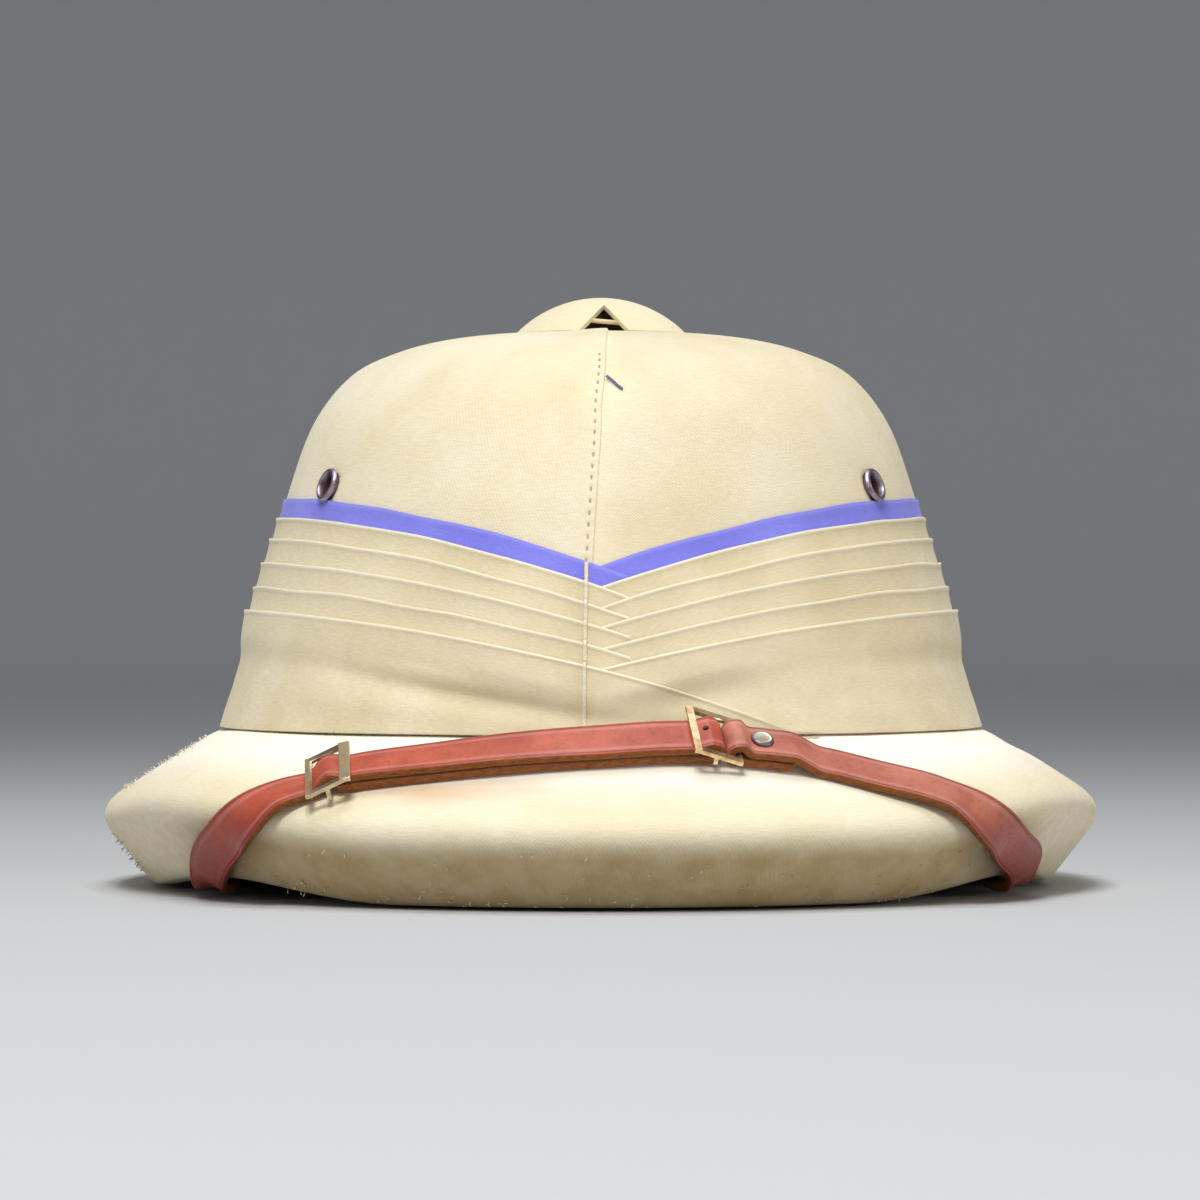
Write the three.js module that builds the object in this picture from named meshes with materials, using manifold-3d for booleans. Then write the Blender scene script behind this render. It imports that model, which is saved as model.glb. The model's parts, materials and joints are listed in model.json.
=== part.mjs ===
// Pith helmet: a thick pith crown and brim covered in cotton drill, with a blue flash and a folded
// pugaree wound round the crown, a cloth-covered ventilator cap, two eyelets, and a leather chin
// strap that is worn up over the front of the brim.
// Millimetres, +Z up, front towards -Y, right towards +X. The brim rests on z = 0.
// A turn is an angle round the crown: 0 at the front, 90 at the right side, -90 at the left side.

import * as THREE from "three";
import { mergeVertices } from "three/addons/utils/BufferGeometryUtils.js";
import Module from "manifold-3d";

const wasm = await Module();
wasm.setup();

// Driving dimensions
const OVAL_RATIO = 1.2; // every level section is an oval this much longer than it is wide
const GAP = 0.3; // clearance between neighbouring pieces

const CROWN_WALL = 11.5; // pith and cloth
const CROWN_FOOT = { radius: 104, height: 46 };
const CROWN_SECTIONS = [
  { height: 159.3, radius: 9 },
  { height: 158.9, radius: 28 },
  { height: 157.4, radius: 44.5 },
  { height: 153.9, radius: 59 },
  { height: 147, radius: 73 },
  { height: 133, radius: 84 },
  { height: 113, radius: 91.3 },
  { height: 100, radius: 94.5 },
  { height: 80, radius: 99.1 },
  { height: CROWN_FOOT.height, radius: CROWN_FOOT.radius },
];

const CAP = { radius: 25, height: 10.6, wall: 2.4 };
const CAP_ARCH = { halfWidth: 7.4, topHalfWidth: 0.6, height: 7.8 };

// The brim's section: a thick sloping slab with a square-cut rim, round at its crest and its toe.
const BRIM = {
  footCorner: { radius: 111, height: 45.1 },
  slopeStart: { radius: 115.5, height: 42.2 },
  slopeEnd: { radius: 139.5, height: 26.7 },
  crestCorner: { radius: 147.6, height: 21.4 },
  faceStart: { radius: 142.2, height: 14.6 },
  faceEnd: { radius: 133.4, height: 3.6 },
  toeCorner: { radius: 130.9, height: 0 },
  restOuter: { radius: 129, height: 0 },
  restInner: { radius: 125, height: 0 },
  underEdge: { radius: 96, height: 19.5 },
  underCorner: { radius: CROWN_FOOT.radius - CROWN_WALL, height: 21.9 },
  wallStart: { radius: CROWN_FOOT.radius - CROWN_WALL, height: 26.5 },
};

// Where the tight strap pulls the soft rim up a little.
const RIM_PULL = { height: 5.4, halfSpread: 30, from: 108, to: 130, leftTurn: -54, rightTurn: 62 };

// Pugaree: the flash, four narrow folds and a wide wrap, each wound once round the crown. Every top
// edge drops towards the front, where the left end laps over the right one.
const CLOTH = 0.5; // a folded edge of thin drill
const CLOTH_GAP = 0.15; // between two layers of it
const FOLD_TUCK = 2.5; // how far each fold runs on under the next one
const FOLD_ENDS = { right: -2.5, left: 4.2 }; // turns at which the two ends stop, past the front
const WINDINGS = [
  { name: "flash_band", side: 111, frontDrop: 20.4, cloth: "flash" },
  { name: "pugaree_fold_1", side: 105.6, frontDrop: 20.6, cloth: "pugaree" },
  { name: "pugaree_fold_2", side: 99.6, frontDrop: 20.2, cloth: "pugaree" },
  { name: "pugaree_fold_3", side: 92.7, frontDrop: 18.6, cloth: "pugaree" },
  { name: "pugaree_fold_4", side: 85.7, frontDrop: 17.4, cloth: "pugaree" },
  { name: "pugaree_wrap", side: 79, frontDrop: 16.2, cloth: "pugaree" },
];
const EDGE_DIP = { spread: 90, sharpness: 2.7 }; // how the edges drop at the front
const CROSSING = { full: 8, fade: 30 }; // turns over which the two ends are stacked at the front
// grip: how far below its top edge the wrap still lies on the folds. drape: where it hangs free.
const WRAP = { cloth: 1.1, foot: 46.2, leftEnd: 32, grip: 7, drape: 16 };
const WRAP_SECTIONS = [
  { height: 84, radius: 103.4 },
  { height: 68, radius: 104.6 },
  { height: 58, radius: 107.2 },
  { height: 50, radius: 109.8 },
  { height: 45, radius: 111.3 },
];
const WRAP_CREASES = [
  { turn: -14, height: 54, rise: -0.16, halfLength: 22, halfHeight: 4.5, depth: -1.4 },
  { turn: -20, height: 60, rise: -0.16, halfLength: 24, halfHeight: 4, depth: 0.9 },
  { turn: 14, height: 59, rise: 0.12, halfLength: 16, halfHeight: 4, depth: -0.7 },
];

const EYELET = { flange: 5.2, hole: 3.1, tube: 3.8, depth: 7.9, roll: 1.3 };
const EYELET_SEAT = { turn: 56.5, height: 113.5, lift: 1.2 }; // lower rim over the flash

const STRAP = { width: 12.7, thickness: 2.2 };
// The strap's line over the brim. along: distance over the brim's skin from the crown's foot.
// lift: clear of the skin. lean: degrees by which its inner edge is tipped up against the pugaree.
const STRAP_ROUTE = [
  { turn: -86, along: 136, lift: 0.8 },
  { turn: -85.5, along: 125, lift: 1.3 },
  { turn: -84, along: 118, lift: 1.9 },
  { turn: -81.5, along: 110, lift: 1.4 },
  { turn: -73, along: 97, lift: 0.6 },
  { turn: -62.5, along: 84, lift: 0.8 },
  { turn: -56.8, along: 76.5, lift: 1 },
  { turn: -53.2, along: 70.5, lift: 1.6 },
  { turn: -48.9, along: 62.5, lift: 2.2 },
  { turn: -45, along: 56, lift: 1.9 },
  { turn: -40.9, along: 50, lift: 1.6 },
  { turn: -37.4, along: 43.5, lift: 1.3 },
  { turn: -34.3, along: 37, lift: 0.9 },
  { turn: -29.8, along: 30.3, lift: 0.7 },
  { turn: -20.5, along: 24.5, lift: 0.9, lean: 3 },
  { turn: -10.5, along: 20.3, lift: 1.4, lean: 6 },
  { turn: 0, along: 17.6, lift: 1.8, lean: 9 },
  { turn: 10, along: 16, lift: 2, lean: 9 },
  { turn: 20, along: 18.5, lift: 1.6, lean: 6 },
  { turn: 27, along: 22.5, lift: 1.4, lean: 6 },
  { turn: 33.5, along: 30, lift: 1.7, lean: 8 },
  { turn: 40.5, along: 42, lift: 2.2, lean: 6 },
  { turn: 45.5, along: 50, lift: 2.5, lean: 3 },
  { turn: 51.5, along: 58, lift: 2.8 },
  { turn: 57, along: 65, lift: 2.8 },
  { turn: 60.5, along: 71.5, lift: 1.9 },
  { turn: 63.5, along: 77, lift: 1.3 },
  { turn: 69, along: 85, lift: 1 },
  { turn: 77, along: 97, lift: 0.6 },
  { turn: 82.5, along: 110, lift: 1.4 },
  { turn: 85, along: 118, lift: 2.1 },
  { turn: 86, along: 125, lift: 1.4 },
  { turn: 86.5, along: 136, lift: 0.8 },
];
const SLIDER_TURN = -32.7;
const BUCKLE_TURN = 13.8;
const FRAME = { wire: 1.2, bar: 2, pitch: 5.2 }; // the metal frames' flat wire, and their bars' spacing
// hump: of the leather over the slider's middle bar. lift: of its outer bars off the leather.
// slip: how far it has slipped down the brim.
const SLIDER = { width: 21.5, slip: 1, wideBar: 3, midBar: 2, hump: 1.2, lift: 0.9, tail: 2.2 };
const BUCKLE = { width: 19.5, lift: 1.2 }; // lift: of its free bar off the leather
const LAYER_GAP = 0.5; // between two layers of leather
const BEND = { radius: 2.25, lead: 1, steps: 6 }; // the leather's middle line round a bar
const RIVET = { flange: 3.3, hole: 1.5, tube: 2.2, roll: 0.9, clear: 0.15 };
const RIVET_FROM_BUCKLE = 13.7;
const FOLD_BACK = 15.5; // of the right strap under itself, past the buckle
const STUD = { radius: 4, edge: 0.5, height: 1.6, fromEnd: 6 };

// How finely each piece is divided
const DIVISIONS = {
  crown: { round: 45, outer: 12, inner: 8 },
  brim: { round: 54, perCurve: 3 },
  cap: { round: 26, outer: 7, inner: 4 },
  foldAcross: 2,
  wrapAcross: 4,
  eyelet: 16,
  rivet: 18,
  stud: 12,
  strapStep: 8,
};

// Finishes
const finish = (color, roughness, metalness = 0) =>
  new THREE.MeshStandardMaterial({ color, roughness, metalness });
const FINISHES = {
  drill: finish(0xe6dcb8, 0.9),
  pugaree: finish(0xd9cca6, 0.9),
  flash: finish(0x7d7ee0, 0.85),
  leather: finish(0xa8503c, 0.45),
  brass: finish(0xc9a66b, 0.35, 1),
  eyeletMetal: finish(0x6b5044, 0.4, 1),
};

const helmet = new THREE.Group();
function addPiece(name, geometry, material) {
  const mesh = new THREE.Mesh(geometry, material);
  mesh.name = name;
  helmet.add(mesh);
}

// General helpers
const { degToRad, lerp, smoothstep, clamp } = THREE.MathUtils;

function onOval(radius, turn, height) {
  const angle = degToRad(turn);
  return new THREE.Vector3(radius * Math.sin(angle), -OVAL_RATIO * radius * Math.cos(angle), height);
}

// Moves every vertex of a geometry to place(x, y, z).
function warp(geometry, place) {
  const position = geometry.getAttribute("position");
  for (let i = 0; i < position.count; i++) {
    const p = place(position.getX(i), position.getY(i), position.getZ(i));
    position.setXYZ(i, p.x, p.y, p.z);
  }
  return geometry;
}

// A profile of (radius, height) points turned about the +Z axis.
const turned = (points, segments) => new THREE.LatheGeometry(points, segments).rotateX(Math.PI / 2);
const profileOf = (pairs) => pairs.map(([radius, height]) => new THREE.Vector2(radius, height));

// A tube with a rolled flange, as eyelets and hollow rivets have. The flange lies on z = 0.
function flangedTube({ flange, hole, tube, depth, roll }, segments) {
  const profile = profileOf([
    [hole, -depth],
    [tube, -depth],
    [tube, 0],
    [flange, 0],
    [flange - roll / 4, (2 / 3) * roll],
    [(flange + hole) / 2, roll],
    [hole + roll / 6, 0.6 * roll],
    [hole, -depth],
  ]);
  return turned(profile, segments);
}

function toSolid(geometry) {
  const bare = new THREE.BufferGeometry().setAttribute("position", geometry.getAttribute("position"));
  if (geometry.index) bare.setIndex(geometry.index);
  const merged = mergeVertices(bare, 1e-3);
  return new wasm.Manifold(
    new wasm.Mesh({
      numProp: 3,
      vertProperties: new Float32Array(merged.getAttribute("position").array),
      triVerts: new Uint32Array(merged.index.array),
    }),
  );
}

function toGeometry(solid) {
  const { vertProperties, triVerts } = solid.getMesh();
  return new THREE.BufferGeometry()
    .setAttribute("position", new THREE.BufferAttribute(new Float32Array(vertProperties), 3))
    .setIndex(new THREE.BufferAttribute(new Uint32Array(triVerts), 1));
}

function cutFrom(geometry, ...cutters) {
  const left = cutters.reduce((solid, cutter) => solid.subtract(toSolid(cutter)), toSolid(geometry));
  return toGeometry(left);
}

// Height to radius, read off a table of sections.
function radiusAt(curve, height) {
  const points = curve.getPoints(160);
  const next = points.findIndex((p) => p.y <= height);
  if (next === 0) return points[0].x;
  if (next < 0) return points.at(-1).x;
  const [above, below] = [points[next - 1], points[next]];
  return lerp(above.x, below.x, (above.y - height) / (above.y - below.y));
}
const sectionCurve = (sections) =>
  new THREE.SplineCurve(sections.map((s) => new THREE.Vector2(s.radius, s.height)));
const crownCurve = sectionCurve(CROWN_SECTIONS);
const wrapCurve = sectionCurve(WRAP_SECTIONS);
const crownRadius = (height) => radiusAt(crownCurve, height);

// Crown: a dome open at its foot, with a vent hole under the cap and a hole behind each eyelet
function crownGeometry() {
  const divisions = DIVISIONS.crown;
  const outer = crownCurve.getPoints(divisions.outer);
  const inner = crownCurve.getPoints(divisions.inner).map((point, i) => {
    const along = crownCurve.getTangent(i / divisions.inner);
    const inside = new THREE.Vector2(point.x + CROWN_WALL * along.y, point.y - CROWN_WALL * along.x);
    return new THREE.Vector2(Math.max(inside.x, CROWN_SECTIONS[0].radius), inside.y);
  });
  inner.at(-1).set(CROWN_FOOT.radius - CROWN_WALL, CROWN_FOOT.height);
  inner[0].x = CROWN_SECTIONS[0].radius;
  const profile = [...outer, ...inner.reverse(), outer[0].clone()];
  const dome = turned(profile.reverse(), divisions.round).scale(1, OVAL_RATIO, 1);
  return cutFrom(dome.translate(0, 0, GAP), ...eyeletDrills());
}

// A place on the crown's skin whose +Z points straight out of it.
function onCrown(turn, height) {
  const step = 0.5;
  const at = (t, h) => onOval(crownRadius(h), t, h + GAP);
  const round = at(turn + step, height).sub(at(turn - step, height));
  const up = at(turn, height + step).sub(at(turn, height - step));
  const out = round.clone().cross(up).normalize();
  const side = round.normalize();
  const place = new THREE.Matrix4().makeBasis(side, out.clone().cross(side), out);
  return place.setPosition(at(turn, height));
}

const eyeletPlace = (turn) => onCrown(turn, EYELET_SEAT.height);

function drillGeometry(radius, length) {
  return new THREE.CylinderGeometry(radius, radius, length, DIVISIONS.eyelet).rotateX(Math.PI / 2);
}

function eyeletDrills() {
  const turns = [-EYELET_SEAT.turn, EYELET_SEAT.turn];
  return turns.map((turn) =>
    drillGeometry(EYELET.tube + GAP, 4 * CROWN_WALL).applyMatrix4(eyeletPlace(turn)),
  );
}

// Brim: the skin from the crown's foot, over the crest, round the toe and up the underside
const brimSkin = new THREE.Path();
{
  const lineTo = (end) => brimSkin.lineTo(end.radius, end.height);
  const curveTo = (corner, end) =>
    brimSkin.quadraticCurveTo(corner.radius, corner.height, end.radius, end.height);
  brimSkin.moveTo(CROWN_FOOT.radius, CROWN_FOOT.height);
  curveTo(BRIM.footCorner, BRIM.slopeStart);
  lineTo(BRIM.slopeEnd);
  curveTo(BRIM.crestCorner, BRIM.faceStart);
  lineTo(BRIM.faceEnd);
  curveTo(BRIM.toeCorner, BRIM.restOuter);
  lineTo(BRIM.restInner);
  lineTo(BRIM.underEdge);
  curveTo(BRIM.underCorner, BRIM.wallStart);
  lineTo({ radius: BRIM.wallStart.radius, height: CROWN_FOOT.height });
}
const brimSkinLength = brimSkin.getLength();

function rimPull(turn, radius) {
  const { height, halfSpread, from, to, leftTurn, rightTurn } = RIM_PULL;
  const near = (at) => Math.cos((Math.PI / 2) * Math.min(Math.abs(turn - at) / halfSpread, 1)) ** 2;
  return height * (near(leftTurn) + near(rightTurn)) * smoothstep(radius, from, to);
}

function brimGeometry() {
  const profile = brimSkin.getPoints(DIVISIONS.brim.perCurve);
  profile.push(profile[0].clone());
  const ring = turned(profile.reverse(), DIVISIONS.brim.round);
  return warp(ring, (x, y, z) => {
    const turn = THREE.MathUtils.radToDeg(Math.atan2(x, -y));
    const radius = Math.hypot(x, y);
    return onOval(radius, turn, z + rimPull(turn, radius));
  });
}

// Ventilator cap: a shallow dome with one arched opening at the front
function capGeometry() {
  const seat = CROWN_SECTIONS[0].height + 2 * GAP;
  const sphere = (CAP.radius ** 2 + CAP.height ** 2) / (2 * CAP.height);
  const dome = (radius, steps) => {
    const half = Math.asin(radius / sphere);
    return Array.from({ length: steps + 1 }, (_, i) => {
      const angle = (half * i) / steps;
      const rise = sphere * (Math.cos(angle) - Math.cos(half));
      return new THREE.Vector2(sphere * Math.sin(angle), seat + rise);
    });
  };
  const outer = dome(CAP.radius, DIVISIONS.cap.outer);
  const inner = dome(CAP.radius - CAP.wall, DIVISIONS.cap.inner).reverse();
  const shell = turned([...outer, ...inner].reverse(), DIVISIONS.cap.round);
  const { halfWidth, topHalfWidth, height } = CAP_ARCH;
  const arch = new THREE.Shape();
  arch.moveTo(-halfWidth, -2 * CAP.wall).lineTo(halfWidth, -2 * CAP.wall).lineTo(halfWidth, 0);
  arch.lineTo(topHalfWidth, height).lineTo(-topHalfWidth, height).lineTo(-halfWidth, 0);
  const cutter = new THREE.ExtrudeGeometry(arch, { depth: 2 * CAP.radius, bevelEnabled: false });
  return cutFrom(shell, cutter.rotateX(Math.PI / 2).translate(0, 0, seat));
}

// Pugaree
const fromFront = (sweep) => Math.min(sweep, 360 - sweep); // less than 0 in an end that laps over
function edgeHeight(winding, sweep) {
  const share = Math.max(0, 1 - fromFront(sweep) / EDGE_DIP.spread) ** EDGE_DIP.sharpness;
  return winding.side - winding.frontDrop * share;
}

// How fully the two ends are stacked at a turn: 1 in the crossing, 0 well away from the front.
const crossingAt = (sweep) =>
  1 - smoothstep(Math.abs(fromFront(sweep)), CROSSING.full, CROSSING.fade);
const isLeftEnd = (sweep) => (sweep > 180 ? 1 : 0);

// How far a winding's inner face stands off the crown. Each lies one layer further out than the one
// above it, and two layers where the ends cross.
function standoff(index, sweep) {
  const crossing = crossingAt(sweep);
  const order = (1 + crossing) * index + crossing * isLeftEnd(sweep);
  return GAP + (CLOTH + CLOTH_GAP) * order;
}

// Where a winding's rows lie: over the crown's edges and over the ends of the other windings, so that
// the flat faces of all of them run side by side.
function windingSweeps(leftEnd) {
  const facet = 360 / DIVISIONS.crown.round;
  const count = Math.floor((360 + leftEnd) / facet) + 1;
  const crownEdges = Array.from({ length: count }, (_, i) => i * facet);
  const ends = [FOLD_ENDS.right, FOLD_ENDS.left];
  return [...crownEdges, ...ends, ...ends.map((end) => 360 + end)].sort((a, b) => a - b);
}

// A strip of cloth wound from its right end at the front round the back to its left end.
function windingGeometry(leftEnd, across, place) {
  const sweeps = windingSweeps(leftEnd);
  const steps = sweeps.length - 1;
  const strip = new THREE.BoxGeometry(steps, 1, 1, steps, across, 1);
  return warp(strip, (x, y, z) => place(sweeps[Math.round(x + steps / 2)], 0.5 - y, z + 0.5));
}

function foldGeometry(index) {
  const winding = WINDINGS[index];
  const next = WINDINGS[index + 1];
  return windingGeometry(FOLD_ENDS.left, DIVISIONS.foldAcross, (sweep, down, out) => {
    const height = lerp(edgeHeight(winding, sweep), edgeHeight(next, sweep) - FOLD_TUCK, down);
    const radius = crownRadius(height) + standoff(index, sweep) + CLOTH * out;
    return onOval(radius, sweep, height + GAP);
  });
}

function creaseAt(turn, height) {
  return WRAP_CREASES.reduce((sum, crease) => {
    const across = (turn - crease.turn) / crease.halfLength;
    const middle = crease.height + crease.rise * (turn - crease.turn);
    const up = (height - middle) / crease.halfHeight;
    return sum + crease.depth * Math.exp(-across * across - up * up);
  }, 0);
}

function wrapGeometry() {
  const index = WINDINGS.length - 1;
  return windingGeometry(WRAP.leftEnd, DIVISIONS.wrapAcross, (sweep, down, out) => {
    const top = Math.max(edgeHeight(WINDINGS[index], sweep), WRAP.foot + 1);
    const height = lerp(top, WRAP.foot, down);
    const aside = Math.abs(fromFront(sweep));
    const overFolds = crownRadius(height) + standoff(index, aside);
    const crease = creaseAt(sweep - 360 * isLeftEnd(sweep), height);
    const hang = radiusAt(wrapCurve, height) - WRAP.cloth + crease;
    const grip = 1 - smoothstep(edgeHeight(WINDINGS[index], aside) - height, WRAP.grip, WRAP.drape);
    const lap = (WRAP.cloth + GAP) * isLeftEnd(sweep) * crossingAt(Math.min(sweep, 360));
    const radius = hang + Math.max(0, overFolds - hang) * grip + lap + WRAP.cloth * out;
    return onOval(radius, sweep, height + GAP);
  });
}

// Eyelets: a rolled flange on the cloth and a short tube into the pith
function eyeletGeometry(turn) {
  const eyelet = flangedTube(EYELET, DIVISIONS.eyelet).translate(0, 0, EYELET_SEAT.lift);
  return eyelet.applyMatrix4(eyeletPlace(turn));
}

// Strap space: t runs along the strap's route, h stands up off the brim, w runs across the strap
const route = (() => {
  const onBrim = (turn, along) => {
    const { x: radius, y: height } = brimSkin.getPointAt(clamp(along / brimSkinLength, 0, 1));
    return onOval(radius, turn, height + rimPull(turn, radius));
  };
  const skinNormal = ({ turn, along, lean = 0 }) => {
    const round = onBrim(turn + 0.5, along).sub(onBrim(turn - 0.5, along));
    const out = onBrim(turn, along + 1.5).sub(onBrim(turn, along - 1.5)).normalize();
    const up = out.clone().cross(round).normalize();
    return up.addScaledVector(out, Math.tan(degToRad(lean))).normalize();
  };
  const normals = STRAP_ROUTE.map(skinNormal);
  const points = STRAP_ROUTE.map((stop, i) =>
    onBrim(stop.turn, stop.along).addScaledVector(normals[i], stop.lift),
  );
  const line = new THREE.CatmullRomCurve3(points);
  const ups = new THREE.CatmullRomCurve3(normals);
  line.arcLengthDivisions = 2000;
  const length = line.getLength();
  const place = (t, h, w) => {
    const share = clamp(t / length, 0, 1);
    const along = line.getTangentAt(share);
    const up = ups.getPoint(line.getUtoTmapping(share));
    up.addScaledVector(along, -up.dot(along)).normalize();
    const across = along.clone().cross(up);
    const point = line.getPointAt(share).addScaledVector(along, t - share * length);
    return point.addScaledVector(up, h).addScaledVector(across, w);
  };
  const atTurn = (turn) => {
    const steps = 2000;
    for (let i = 0; i <= steps; i++) {
      const p = line.getPointAt(i / steps);
      if (Math.atan2(p.x, -p.y / OVAL_RATIO) >= degToRad(turn)) return (length * i) / steps;
    }
    return length;
  };
  return { length, place, atTurn };
})();

// A leather ribbon: its middle line in (t, h), given thickness and width, then bent along the route
function ribbonGeometry(middle) {
  const steps = middle.length - 1;
  const ribbon = new THREE.BoxGeometry(steps, STRAP.thickness, STRAP.width, steps, 1, 1);
  return warp(ribbon, (x, y, z) => {
    const i = Math.round(x + steps / 2);
    const along = middle[Math.min(i + 1, steps)].clone().sub(middle[Math.max(i - 1, 0)]).normalize();
    return route.place(middle[i].x - y * along.y, middle[i].y + y * along.x, z);
  });
}

// Points of a middle line: level stretches cut into steps, eased between (t, h) stops
function easedLine(stops, step) {
  const points = [];
  stops.slice(1).forEach((stop, i) => {
    const start = stops[i];
    const count = Math.max(1, Math.round(Math.abs(stop.t - start.t) / step));
    for (let k = 0; k < count; k++) {
      const share = k / count;
      const ease = share * share * (3 - 2 * share);
      points.push(new THREE.Vector2(lerp(start.t, stop.t, share), lerp(start.h, stop.h, ease)));
    }
  });
  points.push(new THREE.Vector2(stops.at(-1).t, stops.at(-1).h));
  return points;
}

// A half turn of the leather round a bar, from above to below; sense is 1 to bulge towards +t.
function roundBar(t, sense) {
  return Array.from({ length: BEND.steps + 1 }, (_, i) => {
    const angle = Math.PI / 2 - (Math.PI * i) / BEND.steps;
    const out = sense * BEND.radius * Math.cos(angle);
    return new THREE.Vector2(t + out, BAR + BEND.radius * Math.sin(angle));
  });
}

const LOW = STRAP.thickness / 2; // the middle of the lower layer of leather
const HIGH = LOW + STRAP.thickness + LAYER_GAP; // and of the upper one
const BAR = LOW + BEND.radius; // the bars that the leather is folded round
const step = DIVISIONS.strapStep;
const sliderT = route.atTurn(SLIDER_TURN);
const buckleT = route.atTurn(BUCKLE_TURN);
const rightBarT = buckleT + 2 * BEND.radius + STRAP.thickness + GAP;
const foldBackT = rightBarT + FOLD_BACK;

// The left strap threads the slider, runs to the buckle, turns round its middle bar and comes back
// below itself.
function leftStrapLine() {
  const over = [
    { t: 0, h: LOW },
    { t: sliderT - FRAME.pitch - FRAME.wire, h: LOW },
    { t: sliderT - FRAME.pitch + FRAME.wire / 2, h: LOW },
    { t: sliderT, h: HIGH + SLIDER.hump },
    { t: sliderT + FRAME.pitch, h: HIGH },
    { t: buckleT - 2 * FRAME.pitch, h: HIGH },
    { t: buckleT - FRAME.pitch, h: HIGH + GAP },
    { t: buckleT - BEND.lead, h: BAR + BEND.radius },
  ];
  const back = [
    { t: buckleT - BEND.lead, h: LOW },
    { t: sliderT + SLIDER.tail, h: LOW },
  ];
  return [...easedLine(over, step / 2), ...roundBar(buckleT, 1), ...easedLine(back, step)];
}

// The right strap is folded round the buckle's far bar and riveted to itself.
function rightStrapLine() {
  const under = [
    { t: foldBackT, h: LOW },
    { t: rightBarT + BEND.lead, h: LOW },
  ];
  const over = [
    { t: rightBarT + BEND.lead, h: BAR + BEND.radius },
    { t: rightBarT + 1.5 * BEND.radius, h: HIGH },
    { t: foldBackT, h: HIGH },
    { t: foldBackT + step, h: LOW },
    { t: route.length, h: LOW },
  ];
  const bend = roundBar(rightBarT, -1).reverse();
  return [...easedLine(under, step), ...bend, ...easedLine(over, step / 2)];
}

// A place on the strap whose +X runs along it and whose +Z points up off the brim
function onStrap(t, h) {
  const origin = route.place(t, h, 0);
  const along = route.place(t + 0.5, h, 0).sub(route.place(t - 0.5, h, 0)).normalize();
  const across = route.place(t, h, -1).sub(origin).normalize();
  return new THREE.Matrix4().makeBasis(along, across, along.clone().cross(across)).setPosition(origin);
}

// A three-bar metal frame: two outer bars and two straight rails in one plane, and a middle bar
// that hangs from the rails between the layers of leather
function frameGeometry([first, middle, last], width, slip = 0) {
  const { wire, bar } = FRAME;
  const crossBars = [first, middle, last].map(({ t, h, wide }) =>
    new THREE.BoxGeometry(wide, width, wire).translate(t - middle.t, -slip, h),
  );
  const run = last.t - first.t;
  const rise = last.h - first.h;
  const railHeight = first.h + (rise * (middle.t - first.t)) / run;
  const sides = [-1, 1].flatMap((side) => {
    const y = (side * (width - bar)) / 2 - slip;
    const rail = new THREE.BoxGeometry(Math.hypot(run, rise), bar, wire);
    const hanger = new THREE.BoxGeometry(middle.wide, bar, railHeight - middle.h);
    return [
      rail.rotateY(-Math.atan2(rise, run)).translate(run / 2 + first.t - middle.t, y, first.h + rise / 2),
      hanger.translate(0, y, (railHeight + middle.h) / 2),
    ];
  });
  const parts = [...crossBars, ...sides].map(toSolid);
  return toGeometry(parts.reduce((frame, part) => frame.add(part))).applyMatrix4(onStrap(middle.t, 0));
}

const overLow = STRAP.thickness + FRAME.wire / 2; // a bar lying on one layer of leather
const overHigh = HIGH + LOW + FRAME.wire / 2; // a bar lying on two layers
const sliderBars = [
  { t: sliderT - FRAME.pitch, h: overLow + SLIDER.lift, wide: FRAME.bar },
  { t: sliderT, h: SLIDER.midBar, wide: FRAME.wire },
  { t: sliderT + FRAME.pitch, h: overHigh + SLIDER.lift, wide: SLIDER.wideBar },
];
const buckleBars = [
  { t: buckleT - FRAME.pitch, h: overHigh + BUCKLE.lift, wide: FRAME.bar },
  { t: buckleT, h: BAR, wide: FRAME.wire },
  { t: rightBarT, h: BAR, wide: FRAME.wire },
];

const rivetTop = HIGH + LOW + GAP;
const rivetPlace = onStrap(buckleT + RIVET_FROM_BUCKLE, rivetTop);
const rivetDepth = rivetTop - RIVET.clear;
function rivetGeometry() {
  return flangedTube({ ...RIVET, depth: rivetDepth }, DIVISIONS.rivet).applyMatrix4(rivetPlace);
}

function studGeometry(t) {
  const { radius, edge, height } = STUD;
  const profile = profileOf([
    [0, 0],
    [radius, 0],
    [radius, edge],
    [0.6 * radius, 0.8 * height],
    [0, height],
  ]);
  return turned(profile, DIVISIONS.stud).applyMatrix4(onStrap(t, STRAP.thickness + GAP));
}

// Assembly
addPiece("crown", crownGeometry(), FINISHES.drill);
addPiece("brim", brimGeometry(), FINISHES.drill);
addPiece("ventilator_cap", capGeometry(), FINISHES.drill);
WINDINGS.forEach(({ name, cloth }, index) => {
  const geometry = name === "pugaree_wrap" ? wrapGeometry() : foldGeometry(index);
  addPiece(name, name === "flash_band" ? cutFrom(geometry, ...eyeletDrills()) : geometry, FINISHES[cloth]);
});
addPiece("eyelet_left", eyeletGeometry(-EYELET_SEAT.turn), FINISHES.eyeletMetal);
addPiece("eyelet_right", eyeletGeometry(EYELET_SEAT.turn), FINISHES.eyeletMetal);

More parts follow.
